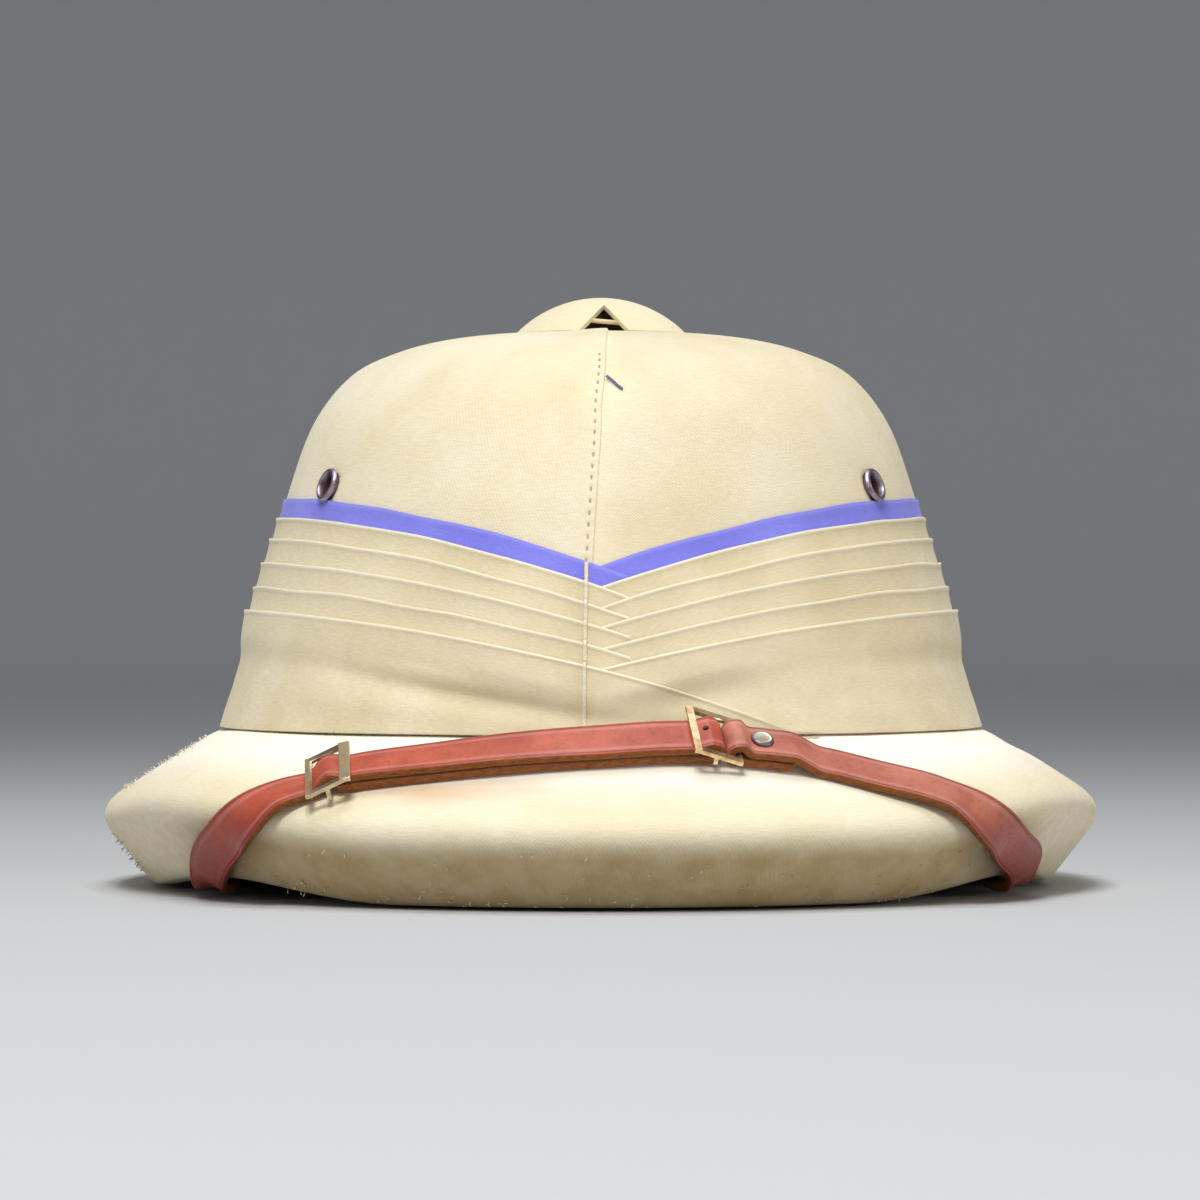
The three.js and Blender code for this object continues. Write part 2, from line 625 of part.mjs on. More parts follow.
const rivetDrill = drillGeometry(RIVET.tube + GAP, 4 * rivetDepth).applyMatrix4(rivetPlace);
addPiece("chin_strap_left", ribbonGeometry(leftStrapLine()), FINISHES.leather);
addPiece("chin_strap_right", cutFrom(ribbonGeometry(rightStrapLine()), rivetDrill), FINISHES.leather);
addPiece("strap_slider", frameGeometry(sliderBars, SLIDER.width, SLIDER.slip), FINISHES.brass);
addPiece("strap_buckle", frameGeometry(buckleBars, BUCKLE.width), FINISHES.brass);
addPiece("strap_rivet", rivetGeometry(), FINISHES.brass);
addPiece("strap_stud_left", studGeometry(STUD.fromEnd), FINISHES.brass);
addPiece("strap_stud_right", studGeometry(route.length - STUD.fromEnd), FINISHES.brass);

export default helmet;
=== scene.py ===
# %% [markdown]
# # A pith sun helmet
#
# The helmet is a thick pith shell under cotton drill, with a pugaree of folded cloth wound round it and a
# leather chin strap worn up over the brim. A CAD model already holds every solid at its real size. This
# file dresses those solids: it gives each one the cloth, leather or metal that is seen on the real thing.

# %% Load the solids
import json
import math
import random
from collections import namedtuple

import bmesh
import bpy
from mathutils import Matrix, Vector, noise
from mathutils.geometry import interpolate_bezier

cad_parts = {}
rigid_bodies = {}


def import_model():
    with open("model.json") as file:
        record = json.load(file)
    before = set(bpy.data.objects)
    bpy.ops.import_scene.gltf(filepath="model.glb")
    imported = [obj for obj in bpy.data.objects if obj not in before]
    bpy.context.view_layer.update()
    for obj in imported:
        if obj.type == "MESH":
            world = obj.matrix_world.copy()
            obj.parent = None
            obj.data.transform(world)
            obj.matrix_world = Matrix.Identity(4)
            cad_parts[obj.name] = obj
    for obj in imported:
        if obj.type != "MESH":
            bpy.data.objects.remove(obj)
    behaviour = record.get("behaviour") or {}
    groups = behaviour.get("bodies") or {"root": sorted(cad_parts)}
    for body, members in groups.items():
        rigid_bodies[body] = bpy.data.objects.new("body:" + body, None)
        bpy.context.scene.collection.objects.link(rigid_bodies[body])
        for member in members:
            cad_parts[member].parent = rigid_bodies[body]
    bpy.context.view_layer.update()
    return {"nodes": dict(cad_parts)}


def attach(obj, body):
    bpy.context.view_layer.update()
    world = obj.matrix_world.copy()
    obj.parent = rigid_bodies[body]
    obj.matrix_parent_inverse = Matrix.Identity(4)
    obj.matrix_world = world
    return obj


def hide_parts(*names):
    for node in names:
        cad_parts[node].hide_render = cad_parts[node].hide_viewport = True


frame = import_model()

nodes = frame["nodes"]

# %% [markdown]
# ## Common tools
#
# Shapes are drawn in millimetres, because that is how a hatter would measure them, and they are scaled to
# metres when a piece is made. Every level section of this helmet is an oval. A turn is an angle round it:
# 0 at the front, 90 on the right and -90 on the left.

# %% Make a piece from a bmesh
MM = 0.001
OVAL = 1.2  # length of each level section, as a share of its width
GAP = 0.3  # clearance between neighbouring solids
WELD = 0.001  # points closer than this are one point
SHARP = math.radians(50)  # edges that turn more than this are corners


def mesh_object(name, bm, finishes):
    bmesh.ops.scale(bm, vec=(MM, MM, MM), verts=bm.verts)
    mesh = bpy.data.meshes.new(name)
    bm.to_mesh(mesh)
    bm.free()
    for finish in finishes:
        mesh.materials.append(finish.material)
    mesh.shade_smooth()
    made = bpy.data.objects.new(name, mesh)
    bpy.context.scene.collection.objects.link(made)
    print("made", name, "with", len(mesh.polygons), "faces")
    return made


def make_piece(name, bm, finishes, slot, stands_for=()):
    piece = mesh_object(name, bm, finishes)
    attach(piece, "root")
    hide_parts(*stands_for)
    return piece


def add_modifier(piece, kind, **settings):
    modifier = piece.modifiers.new(kind.lower(), kind)
    for key, value in settings.items():
        setattr(modifier, key, value)


def thicken(piece, wall, rounding=0.0):
    add_modifier(piece, "SOLIDIFY", thickness=wall * MM, offset=-1)
    if rounding:
        add_modifier(
            piece, "BEVEL", width=rounding * MM, segments=3, limit_method="ANGLE", angle_limit=SHARP
        )


# %% Points on ovals, and smooth lines through points
def on_oval(radius, turn, height):
    angle = math.radians(turn)
    return Vector((radius * math.sin(angle), -OVAL * radius * math.cos(angle), height))


def turn_of(point):
    return math.degrees(math.atan2(point.x, -point.y / OVAL))


def radius_of(point):
    return math.hypot(point.x, point.y / OVAL)


def mix(a, b, share):
    return a + (b - a) * share


def ease(value, low, high):
    share = min(max((value - low) / (high - low), 0.0), 1.0)
    return share * share * (3 - 2 * share)


def bell(distance, width):
    return math.exp(-((distance / width) ** 2))


def smooth_line(points, steps):
    last = len(points) - 1
    line = []
    for i in range(last):
        before, start, end, after = (Vector(points[min(max(k, 0), last)]) for k in range(i - 1, i + 3))
        out = start + (end - before) / 6
        back = end - (after - start) / 6
        line += interpolate_bezier(start, out, back, end, steps + 1)[:-1]
    return line + [Vector(points[-1])]


def evenly(line, count):
    reached = [0.0]
    for start, end in zip(line, line[1:]):
        reached.append(reached[-1] + (end - start).length)
    points = []
    i = 0
    for k in range(count + 1):
        distance = reached[-1] * k / count
        while i < len(line) - 2 and reached[i + 1] < distance:
            i += 1
        points.append(line[i].lerp(line[i + 1], (distance - reached[i]) / (reached[i + 1] - reached[i])))
    return points, reached[-1]


# %% Turn a profile round the upright axis
def spun(profile, steps, stretch=OVAL, closed=True):
    bm = bmesh.new()
    verts = [bm.verts.new((0.0, -radius, height)) for radius, height in profile]
    ends = verts[1:] + verts[:1] if closed else verts[1:]
    edges = [bm.edges.new(pair) for pair in zip(verts, ends)]
    bmesh.ops.spin(
        bm, geom=verts + edges, cent=(0, 0, 0), axis=(0, 0, 1), angle=math.tau, steps=steps, use_merge=True
    )
    bmesh.ops.remove_doubles(bm, verts=bm.verts, dist=WELD)
    bmesh.ops.recalc_face_normals(bm, faces=bm.faces)
    bmesh.ops.scale(bm, vec=(1, stretch, 1), verts=bm.verts)
    return bm


# %% Cut a hole
BORE_REACH = 2.5  # faces this many radii away may be cut


def cut_out(bm, is_near, planes):
    for point, normal in planes:
        near = [face for face in bm.faces if is_near(face.calc_center_median())]
        parts = dict.fromkeys(item for face in near for item in (face, *face.edges, *face.verts))
        bmesh.ops.bisect_plane(bm, geom=list(parts), dist=WELD, plane_co=point, plane_no=normal)
    inside = []
    for face in bm.faces:
        middle = face.calc_center_median()
        if is_near(middle) and all((middle - point).dot(normal) < 0 for point, normal in planes):
            inside.append(face)
    bmesh.ops.delete(bm, geom=inside, context="FACES")


def boundary_loops(bm):
    left = dict.fromkeys(edge for edge in bm.edges if edge.is_boundary)
    loops = []
    while left:
        loop = [left.popitem()[0]]
        for edge in loop:
            for mate in (mate for vert in edge.verts for mate in vert.link_edges):
                if mate in left:
                    del left[mate]
                    loop.append(mate)
        loops.append(loop)
    return loops


def bore(bm, centre, axis, radius, depth, sides=14):
    start = axis.orthogonal().normalized()
    planes = []
    for i in range(sides):
        out = Matrix.Rotation(math.tau * i / sides, 3, axis) @ start
        planes.append((centre + out * radius, out))

    def is_near(point):
        along = (point - centre).dot(axis)
        return abs(along) < depth and (point - centre - along * axis).length < BORE_REACH * radius

    def how_far(loop):
        return sum(edge.verts[0].co.dot(axis) for edge in loop) / len(loop)

    cut_out(bm, is_near, planes)
    loops = sorted(boundary_loops(bm), key=how_far)
    for one, other in zip(loops[::2], loops[1::2]):
        bmesh.ops.bridge_loops(bm, edges=one + other)
    bmesh.ops.recalc_face_normals(bm, faces=bm.faces)
    print("bored a hole through", len(loops), "skins")


# %% Extrude a ring along a line, as for a thread
THREAD_SIDE = Vector((1, 0.3, 0.2))  # a direction that no thread runs in


def extruded(bm, ring, places):
    edges = [bm.edges.get(pair) for pair in zip(ring, ring[1:] + ring[:1])]
    made = bmesh.ops.extrude_edge_only(bm, edges=edges)["geom"]
    fresh = {item for item in made if isinstance(item, bmesh.types.BMVert)}
    following = []
    for vert, place in zip(ring, places):
        following.append(next(e.other_vert(vert) for e in vert.link_edges if e.other_vert(vert) in fresh))
        following[-1].co = place
    return following


def add_tube(bm, sections):
    ring = [bm.verts.new(point) for point in sections[0]]
    faces = set(bm.faces)
    bm.faces.new(ring)
    for section in sections[1:]:
        ring = extruded(bm, ring, section)
    bm.faces.new(ring)
    return [face for face in bm.faces if face not in faces]


def add_thread(bm, line, radius, sides=6, material=0):
    sections = []
    for before, point, after in zip(line[:1] + line, line, line[1:] + line[-1:]):
        along = (after - before).normalized()
        side = radius * along.cross(THREAD_SIDE).normalized()
        turns = [Matrix.Rotation(math.tau * k / sides, 3, along) for k in range(sides)]
        sections.append([point + turn @ side for turn in turns])
    for face in add_tube(bm, sections):
        face.material_index = material


# %% [markdown]
# ## Finishes
#
# Each finish is a small node tree. Cloth is woven, so its pattern has to follow the cloth and not the
# room: every cloth piece carries a UV map called "weave", laid out in millimetres, and the twill lines
# are drawn on that. Fading and dirt are larger than the weave and don't follow it, so they come from noise
# on Object coordinates, and values on a piece's points say where it is dirty or stained, and where shade or
# a highlight is painted into the colour.


# %% Node helpers
def srgb(red, green, blue):
    def linear(value):
        value /= 255
        return value / 12.92 if value <= 0.04045 else ((value + 0.055) / 1.055) ** 2.4

    return (linear(red), linear(green), linear(blue), 1.0)


class Finish:
    """A material and the few calls that its node tree needs."""

    def __init__(self, name):
        self.material = bpy.data.materials.new(name)
        self.material.use_nodes = True
        self.tree = self.material.node_tree
        self.shader = self.tree.nodes["Principled BSDF"]

    def add(self, kind, output, inputs=None, **settings):
        node = self.tree.nodes.new("ShaderNode" + kind)
        for key, value in settings.items():
            setattr(node, key, value)
        self.plug(node, inputs or {})
        return node.outputs[output]

    def plug(self, node, inputs):
        for key, value in inputs.items():
            if isinstance(value, bpy.types.NodeSocket):
                self.tree.links.new(value, node.inputs[key])
            else:
                node.inputs[key].default_value = value

    def surface(self, **inputs):
        self.plug(self.shader, {key.replace("_", " "): value for key, value in inputs.items()})
        print("finish", self.material.name, "has", len(self.tree.nodes), "nodes")

    def objects(self):
        return self.add("TexCoord", "Object")

    def weave(self):
        return self.add("UVMap", "UV", uv_map="weave")

    def attribute(self, name):
        return self.add("Attribute", "Fac", attribute_name=name)

    def mapped(self, vector, turn=0.0, scale=(1, 1, 1)):
        inputs = {"Vector": vector, "Rotation": (0, 0, math.radians(turn)), "Scale": scale}
        return self.add("Mapping", "Vector", inputs)

    def noise(self, vector, scale, detail=3.0, roughness=0.55):
        inputs = {"Vector": vector, "Scale": scale, "Detail": detail, "Roughness": roughness}
        return self.add("TexNoise", "Fac", inputs)

    def ribs(self, vector, pitch, wobble):
        scale = math.tau / 20 / pitch
        inputs = {"Vector": vector, "Scale": scale, "Distortion": wobble, "Detail Scale": 0.6}
        return self.add("TexWave", "Fac", inputs)

    def math(self, operation, *values):
        return self.add("Math", 0, dict(enumerate(values)), operation=operation)

    def spread(self, value, low, high, to_low=0.0, to_high=1.0):
        inputs = {"Value": value, "From Min": low, "From Max": high, "To Min": to_low, "To Max": to_high}
        return self.add("MapRange", "Result", inputs, interpolation_type="SMOOTHSTEP")

    def blend(self, share, one, other):
        return self.add("Mix", 2, {0: share, 6: one, 7: other}, data_type="RGBA")

    def bump(self, height, distance, strength):
        return self.add("Bump", "Normal", {"Height": height, "Distance": distance, "Strength": strength})


# %% Woven cotton
TWILL_PITCH = 0.62  # millimetres from one diagonal rib to the next
TWILL_TURN = 58  # degrees that the pattern is turned, so that the ribs slant
RUST_STAIN = srgb(204, 146, 84)


def cotton(name, light, dark, soil_and_shade, pale):
    finish = Finish(name)
    weave = finish.weave()
    ribs = finish.ribs(finish.mapped(weave, turn=TWILL_TURN), TWILL_PITCH, wobble=1.2)
    yarns = finish.ribs(finish.mapped(weave, turn=TWILL_TURN - 90), 1.4 * TWILL_PITCH, wobble=2.0)
    slubs = finish.noise(finish.mapped(weave, scale=(0.25, 1.6, 1)), 1.1, detail=2)
    place = finish.objects()
    fading = finish.noise(place, 30, detail=4, roughness=0.5)
    blotches = finish.noise(place, 13, detail=4)
    cloth = finish.blend(finish.spread(fading, 0.3, 0.75), light, dark)
    cloth = finish.blend(finish.spread(blotches, 0.56, 0.8, 0, 0.2), cloth, soil_and_shade)
    thread = finish.math("ADD", finish.math("MULTIPLY", ribs, 0.6), finish.math("MULTIPLY", yarns, 0.4))
    # painted shade: the cloth is darker where the weave's ribs lie low
    cloth = finish.blend(finish.spread(thread, 0.1, 0.7, 0.1, 0), cloth, soil_and_shade)
    cloth = finish.blend(finish.spread(slubs, 0.35, 0.7, 0.14, 0), cloth, soil_and_shade)
    mottle = finish.spread(finish.noise(place, 70, detail=5, roughness=0.65), 0.3, 0.7, 0.75, 1)
    # the soil value brings yellowing and dirt, and painted shade on the brim's face
    cloth = finish.blend(finish.math("MULTIPLY", finish.attribute("soil_and_shade"), mottle), cloth, soil_and_shade)
    # painted highlight: a paler tone on the fold edges and the brim's top, where the "edge" value is set
    cloth = finish.blend(finish.attribute("edge"), cloth, pale)
    cloth = finish.blend(finish.math("MULTIPLY", finish.attribute("stain"), mottle), cloth, RUST_STAIN)
    height = finish.math("ADD", thread, finish.math("MULTIPLY", slubs, 0.9))
    finish.surface(
        Base_Color=cloth,
        Roughness=0.92,
        Sheen_Weight=0.12,
        Sheen_Roughness=0.5,
        Specular_IOR_Level=0.2,
        Normal=finish.bump(height, 0.0001, 0.5),
    )
    return finish


CREAM = srgb(246, 239, 214)
drill = cotton(
    "cream_drill", srgb(240, 233, 208), srgb(232, 220, 185), srgb(168, 143, 96), srgb(251, 248, 236)
)
pugaree_cloth = cotton("khaki_cotton", srgb(234, 223, 193), srgb(219, 205, 167), srgb(162, 138, 94), CREAM)
flash_cloth = cotton(
    "blue_cotton", srgb(143, 144, 244), srgb(126, 127, 230), srgb(84, 84, 168), srgb(152, 152, 248)
)

# %% [markdown]
# ## Crown
#
# The crown is a dome of pith with drill glued over it. Its outline was drawn in CAD as a few sections
# from the vent hole down to the foot. A profile that is spun round the upright axis and then stretched
# gives the dome in one step, and it comes out smoother than the CAD facets, which is why the facets
# aren't simply subdivided.

# %% Crown outline
Section = namedtuple("Section", "radius height")
CROWN_WALL = 11.5
CROWN_FOOT = Section(104.0, 46.0)
CROWN_SECTIONS = (
    Section(9.0, 159.3),
    Section(28.0, 158.9),
    Section(44.5, 157.4),
    Section(59.0, 153.9),
    Section(73.0, 147.0),
    Section(84.0, 133.0),
    Section(91.3, 113.0),
    Section(94.5, 100.0),
    Section(99.1, 80.0),
    CROWN_FOOT,
)
crown_line = smooth_line(CROWN_SECTIONS, steps=8)
print("the crown's outline has", len(crown_line), "points")


def radius_at(line, height):
    for above, below in zip(line, line[1:]):
        if below.y <= height:
            return mix(above.x, below.x, (above.y - height) / (above.y - below.y))
    return line[-1].x


def crown_radius(height):
    return radius_at(crown_line, height)


def crown_point(turn, height):
    return on_oval(crown_radius(height), turn, height + GAP)


def out_of_crown(turn, height):
    across = crown_point(turn + 0.5, height) - crown_point(turn - 0.5, height)
    up = crown_point(turn, height + 0.5) - crown_point(turn, height - 0.5)
    return across.cross(up).normalized()


# %% [markdown]
# The drill was cut in panels that meet in a seam at the front and at the back, so the weave runs its own
# way on the left and on the right. That is laid out here by measuring each half from its own side of the
# helmet. The right panel has yellowed a little more than the left one. Two holes let the eyelets open into
# the dark inside of the wall.


# %% Spin the crown and lay out its weave
EYELET_TURNS = (-56.5, 56.5)
EYELET_HEIGHT = 113.5
EYELET_DRILL = 4.1
YELLOWED = 0.12  # share of soil in the right panel's colour
YELLOWED_FROM, YELLOWED_TO = 0, 8  # it grows over these millimetres to the right of the middle


def lay_out(bm, flat):
    weave = bm.loops.layers.uv.new("weave")
    for face in bm.faces:
        middle = face.calc_center_median()
        for loop in face.loops:
            loop[weave].uv = flat(loop.vert.co, middle)


def lay_out_halves(bm, one_side=None):
    def flat(point, middle):
        side = one_side or (90 if middle.x > 0 else -90)
        from_side = (turn_of(point) - side + 180) % 360 - 180
        radius = radius_of(point)
        return math.radians(from_side) * radius, point.z - radius

    lay_out(bm, flat)


def crown_profile():
    outer = [point + Vector((0, GAP)) for point in crown_line]
    inner = []
    for before, point, after in zip(outer, outer[1:], outer[2:]):
        along = (after - before).normalized()
        inward = Vector((along.y, -along.x)) * CROWN_WALL
        if point.x + inward.x > CROWN_SECTIONS[0].radius:
            inner.append(point + inward)
    top = Vector((CROWN_SECTIONS[0].radius, inner[0].y))
    foot = Vector((CROWN_FOOT.radius - CROWN_WALL, CROWN_FOOT.height + GAP))
    return outer + [foot] + inner[::-1] + [top]


crown_bm = spun(crown_profile(), steps=144)
for turn in EYELET_TURNS:
    centre = crown_point(turn, EYELET_HEIGHT)
    bore(crown_bm, centre, out_of_crown(turn, EYELET_HEIGHT), EYELET_DRILL, depth=1.4 * CROWN_WALL)
lay_out_halves(crown_bm)
yellowing = crown_bm.verts.layers.float.new("soil_and_shade")
for vert in crown_bm.verts:
    vert[yellowing] = YELLOWED * ease(vert.co.x, YELLOWED_FROM, YELLOWED_TO)
make_piece("crown_drill", crown_bm, [drill], "drill", ["crown"])

# %% [markdown]
# At the front seam the left panel is folded under and laps over the right one, and a row of stitches runs
# beside the fold. The lap is a flat strip of its own that is draped: every point of it is moved to its
# place on the crown. It is highest at the fold and thins away to nothing on its left, so only the fold
# shows.

# %% Front seam
SEAM_TOP_RADIUS = 22.0  # under the cap
SEAM_FOOT_HEIGHT = 87.0  # under the flash
SEAM_AT_TOP, SEAM_AT_FOOT = 2.2, -2.2  # millimetres to the right of the middle
LAP_WIDTH = 13.0
LAP_RISE = 0.75
LAP_CREST = 0.05  # where it is highest, as a share of its width
LAP_TUCK = 0.3  # of its thin edge into the crown
SEAM_TUCK, SEAM_EDGE = 0.25, 0.015  # of its fold, and the share of the width that it takes
CLOTH = 0.5
STITCH_INSET = 2.0
STITCH_PITCH = 3.4
FIRST_STITCH = 0.44  # how far down the seam the stitches start to show
DIMPLE_DEPTH, DIMPLE_WIDTH = 0.35, 0.8  # where a stitch pulls the cloth in
SEAM_WANDER = 0.35
SEAM_STEPS = 120

seam_part = [point for point in crown_line if point.x > SEAM_TOP_RADIUS and point.y > SEAM_FOOT_HEIGHT]
front_line = [Vector((OVAL * point.x, point.y)) for point in seam_part]
seam_profile, LAP_LENGTH = evenly(front_line, SEAM_STEPS)
STITCHES = round(LAP_LENGTH / STITCH_PITCH)


def seam_step(down):
    i = min(int(down * SEAM_STEPS), SEAM_STEPS - 1)
    start, end = seam_profile[i], seam_profile[i + 1]
    return start.lerp(end, down * SEAM_STEPS - i), (end - start).normalized()


def on_crown_front(down, right, lift):
    middle, along = seam_step(down)
    radius = (middle.x - lift * along.y) / OVAL
    return on_oval(radius, math.degrees(math.asin(right / radius)), middle.y + lift * along.x + GAP)


def seam_line(down):
    top, foot = seam_profile[0].y, seam_profile[-1].y
    share = (top - seam_step(down)[0].y) / (top - foot)
    return mix(SEAM_AT_TOP, SEAM_AT_FOOT, share) + SEAM_WANDER * noise.noise(Vector((9 * down, 0, 5)))


def place_lap(down, across):
    fold = ease(across, -0.02, LAP_CREST) - 0.96 * ease(across, LAP_CREST, 1)
    tucked = SEAM_TUCK * bell(across, SEAM_EDGE) + LAP_TUCK * ease(across, 0.9, 1)
    rise = LAP_RISE * fold - tucked
    pucker = 0.6 + 0.4 * math.cos(math.tau * down * STITCHES)
    sewn = ease(down, FIRST_STITCH - 0.03, FIRST_STITCH)
    dimple = DIMPLE_DEPTH * bell(across * LAP_WIDTH - STITCH_INSET, DIMPLE_WIDTH)
    return on_crown_front(down, seam_line(down) - across * LAP_WIDTH, rise - sewn * pucker * dimple)


def drape(bm, place):
    for vert in bm.verts:
        vert.co = place(vert.co.x + 0.5, 0.5 - vert.co.y)
    bmesh.ops.recalc_face_normals(bm, faces=bm.faces)
    outwards = sum(face.normal.dot(Vector((*face.calc_center_median().xy, 0))) for face in bm.faces)
    if outwards < 0:
        bmesh.ops.reverse_faces(bm, faces=bm.faces)


lap_bm = bmesh.new()
bmesh.ops.create_grid(lap_bm, x_segments=240, y_segments=30, size=0.5)
drape(lap_bm, lambda down, across: place_lap(down, across**2))  # more rows near the fold
lay_out_halves(lap_bm, one_side=-90)
lap = make_piece("crown_seam_lap", lap_bm, [drill], "drill")
thicken(lap, CLOTH)

# %% [markdown]
# The stitches are small pulled-in dots of thread. A loose end of blue-grey yarn lies beside the seam near
# the top. Thread, rust and the raw sides of leather each have two tones in one grain, so one function
# makes all those finishes.


# %% Stitches and a loose end of yarn
def speckled(name, light, dark, grain, limits, roughness, relief, detail=5, stretch=1):
    finish = Finish(name)
    specks = finish.noise(finish.mapped(finish.objects(), scale=(1, 1, stretch)), grain, detail=detail)
    colour = finish.blend(finish.spread(specks, *limits), light, dark)
    finish.surface(Base_Color=colour, Roughness=roughness, Normal=finish.bump(specks, *relief))
    return finish


TWIST = {"grain": 2400, "limits": (0.35, 0.7), "roughness": 0.9, "relief": (0.00008, 0.6), "detail": 2}
tan_thread = speckled("tan_thread", srgb(182, 170, 138), srgb(150, 137, 108), **TWIST)
blue_yarn = speckled("blue_grey_yarn", srgb(116, 124, 152), srgb(88, 94, 120), **TWIST)
pale_thread = speckled("pale_thread", srgb(236, 229, 204), srgb(214, 203, 168), **TWIST)
STITCH_RADIUS, YARN_RADIUS = 0.32, 0.38
HALF_STITCH = 0.55
STITCH_LIFT, STITCH_ARCH = 0.35, 0.1  # of its ends, and how much more in its middle
Knot = namedtuple("Knot", "down right lift")
LOOSE_END = (
    Knot(0.536, 1.5, 0.95),
    Knot(0.547, 3.1, 0.6),
    Knot(0.560, 4.4, 0.5),
    Knot(0.572, 5.9, 0.45),
)

stitch_bm = bmesh.new()
for i in range(round(FIRST_STITCH * STITCHES), STITCHES):
    down = i / STITCHES
    right = seam_line(down) - STITCH_INSET
    step = HALF_STITCH / LAP_LENGTH
    lifts = ((-1, STITCH_LIFT), (0, STITCH_LIFT + STITCH_ARCH), (1, STITCH_LIFT))
    stitch = [on_crown_front(down + k * step, right, lift) for k, lift in lifts]
    add_thread(stitch_bm, stitch, STITCH_RADIUS)
add_thread(stitch_bm, [on_crown_front(*knot) for knot in LOOSE_END], YARN_RADIUS, material=1)
make_piece("crown_seam_stitches", stitch_bm, [tan_thread, blue_yarn], "drill")

# %% [markdown]
# ## Brim
#
# The brim is a slab of pith whose edge was cut square before it was covered, so it has a crest, a face
# that leans in and a toe that it stands on. It is spun like the crown. Then the rim is lifted where the
# tight strap pulls it up, and the whole skin is made a little uneven, as hand-covered pith is. Its top is
# made paler as a painted highlight, the front of its face is darkened by painted shade with some dirt, and
# there is a rusty stain below the strap's left half, so three values on its points say where.

# %% Brim outline
BRIM_FOOT_CORNER = Section(111.0, 45.1)
BRIM_SLOPE_START = Section(115.5, 42.2)
BRIM_SLOPE_END = Section(139.5, 26.7)
BRIM_CREST_CORNER = Section(147.6, 21.4)
BRIM_FACE_START = Section(142.2, 14.6)
BRIM_FACE_END = Section(133.4, 3.6)
BRIM_TOE_CORNER = Section(130.9, 0.0)
BRIM_REST_OUTER = Section(129.0, 0.0)
BRIM_REST_INNER = Section(125.0, 0.0)
BRIM_UNDER_EDGE = Section(96.0, 19.5)
BRIM_UNDER_CORNER = Section(CROWN_FOOT.radius - CROWN_WALL, 21.9)
BRIM_WALL_START = Section(CROWN_FOOT.radius - CROWN_WALL, 26.5)


def straight(start, end, steps):
    return [Vector(start).lerp(Vector(end), i / steps) for i in range(steps)]


def rounded(start, corner, end, steps):
    start, corner, end = Vector(start), Vector(corner), Vector(end)
    out = start.lerp(corner, 2 / 3)
    back = end.lerp(corner, 2 / 3)
    return interpolate_bezier(start, out, back, end, steps + 1)[:-1]


def brim_profile():
    line = rounded(CROWN_FOOT, BRIM_FOOT_CORNER, BRIM_SLOPE_START, 6)
    line += straight(BRIM_SLOPE_START, BRIM_SLOPE_END, 10)
    line += rounded(BRIM_SLOPE_END, BRIM_CREST_CORNER, BRIM_FACE_START, 10)
    line += straight(BRIM_FACE_START, BRIM_FACE_END, 6)
    line += rounded(BRIM_FACE_END, BRIM_TOE_CORNER, BRIM_REST_OUTER, 5)
    line += straight(BRIM_REST_OUTER, BRIM_REST_INNER, 2)
    line += straight(BRIM_REST_INNER, BRIM_UNDER_EDGE, 12)
    line += rounded(BRIM_UNDER_EDGE, BRIM_UNDER_CORNER, BRIM_WALL_START, 4)
    line += straight(BRIM_WALL_START, (BRIM_WALL_START.radius, CROWN_FOOT.height), 4)
    return line + straight((BRIM_WALL_START.radius, CROWN_FOOT.height), CROWN_FOOT, 3)


print("the brim's outline has", len(brim_profile()), "points")


# %% Pull the rim up where the strap holds it, and make the skin uneven
RIM_PULL = 5.4
RIM_PULL_TURNS = (-54, 62)
RIM_PULL_SPREAD = 30
RIM_PULL_FROM, RIM_PULL_TO = 108, 130
BRIM_WEAVE_RADIUS = 125
UNEVENNESS, LUMPS = 0.35, 0.03  # height of the lumps, and how many there are to a millimetre
TOP_HIGHLIGHT, TOP_HIGHLIGHT_FROM, TOP_HIGHLIGHT_TO = 0.8, 25, 37  # share of the pale tone of the painted highlight, and heights
FACE_SHADE, FACE_SHADE_ENDS_FROM, FACE_SHADE_ENDS_TO = 0.95, 12, 20  # share of painted shade and dirt on the face, and the heights where it ends
# the painted shade on the face is full up to the first turn from the front, and gone at the second
SHADED_TURN, UNSHADED_TURN = 42, 66
Stain = namedtuple("Stain", "turn height half_length half_height strength")
STRAP_STAINS = (
    Stain(-20, 30.3, 7.0, 2.4, 0.65),
    Stain(-10, 32.0, 6.0, 2.0, 0.35),
)


def rim_pull(turn, radius):
    pull = 0.0
    for at in RIM_PULL_TURNS:
        pull += math.cos(math.pi / 2 * min(abs(turn - at) / RIM_PULL_SPREAD, 1)) ** 2
    return RIM_PULL * pull * ease(radius, RIM_PULL_FROM, RIM_PULL_TO)


def round_brim(point, middle):
    start = turn_of(middle)
    turn = start + (turn_of(point) - start + 180) % 360 - 180
    return math.radians(turn) * BRIM_WEAVE_RADIUS, radius_of(point) - point.z


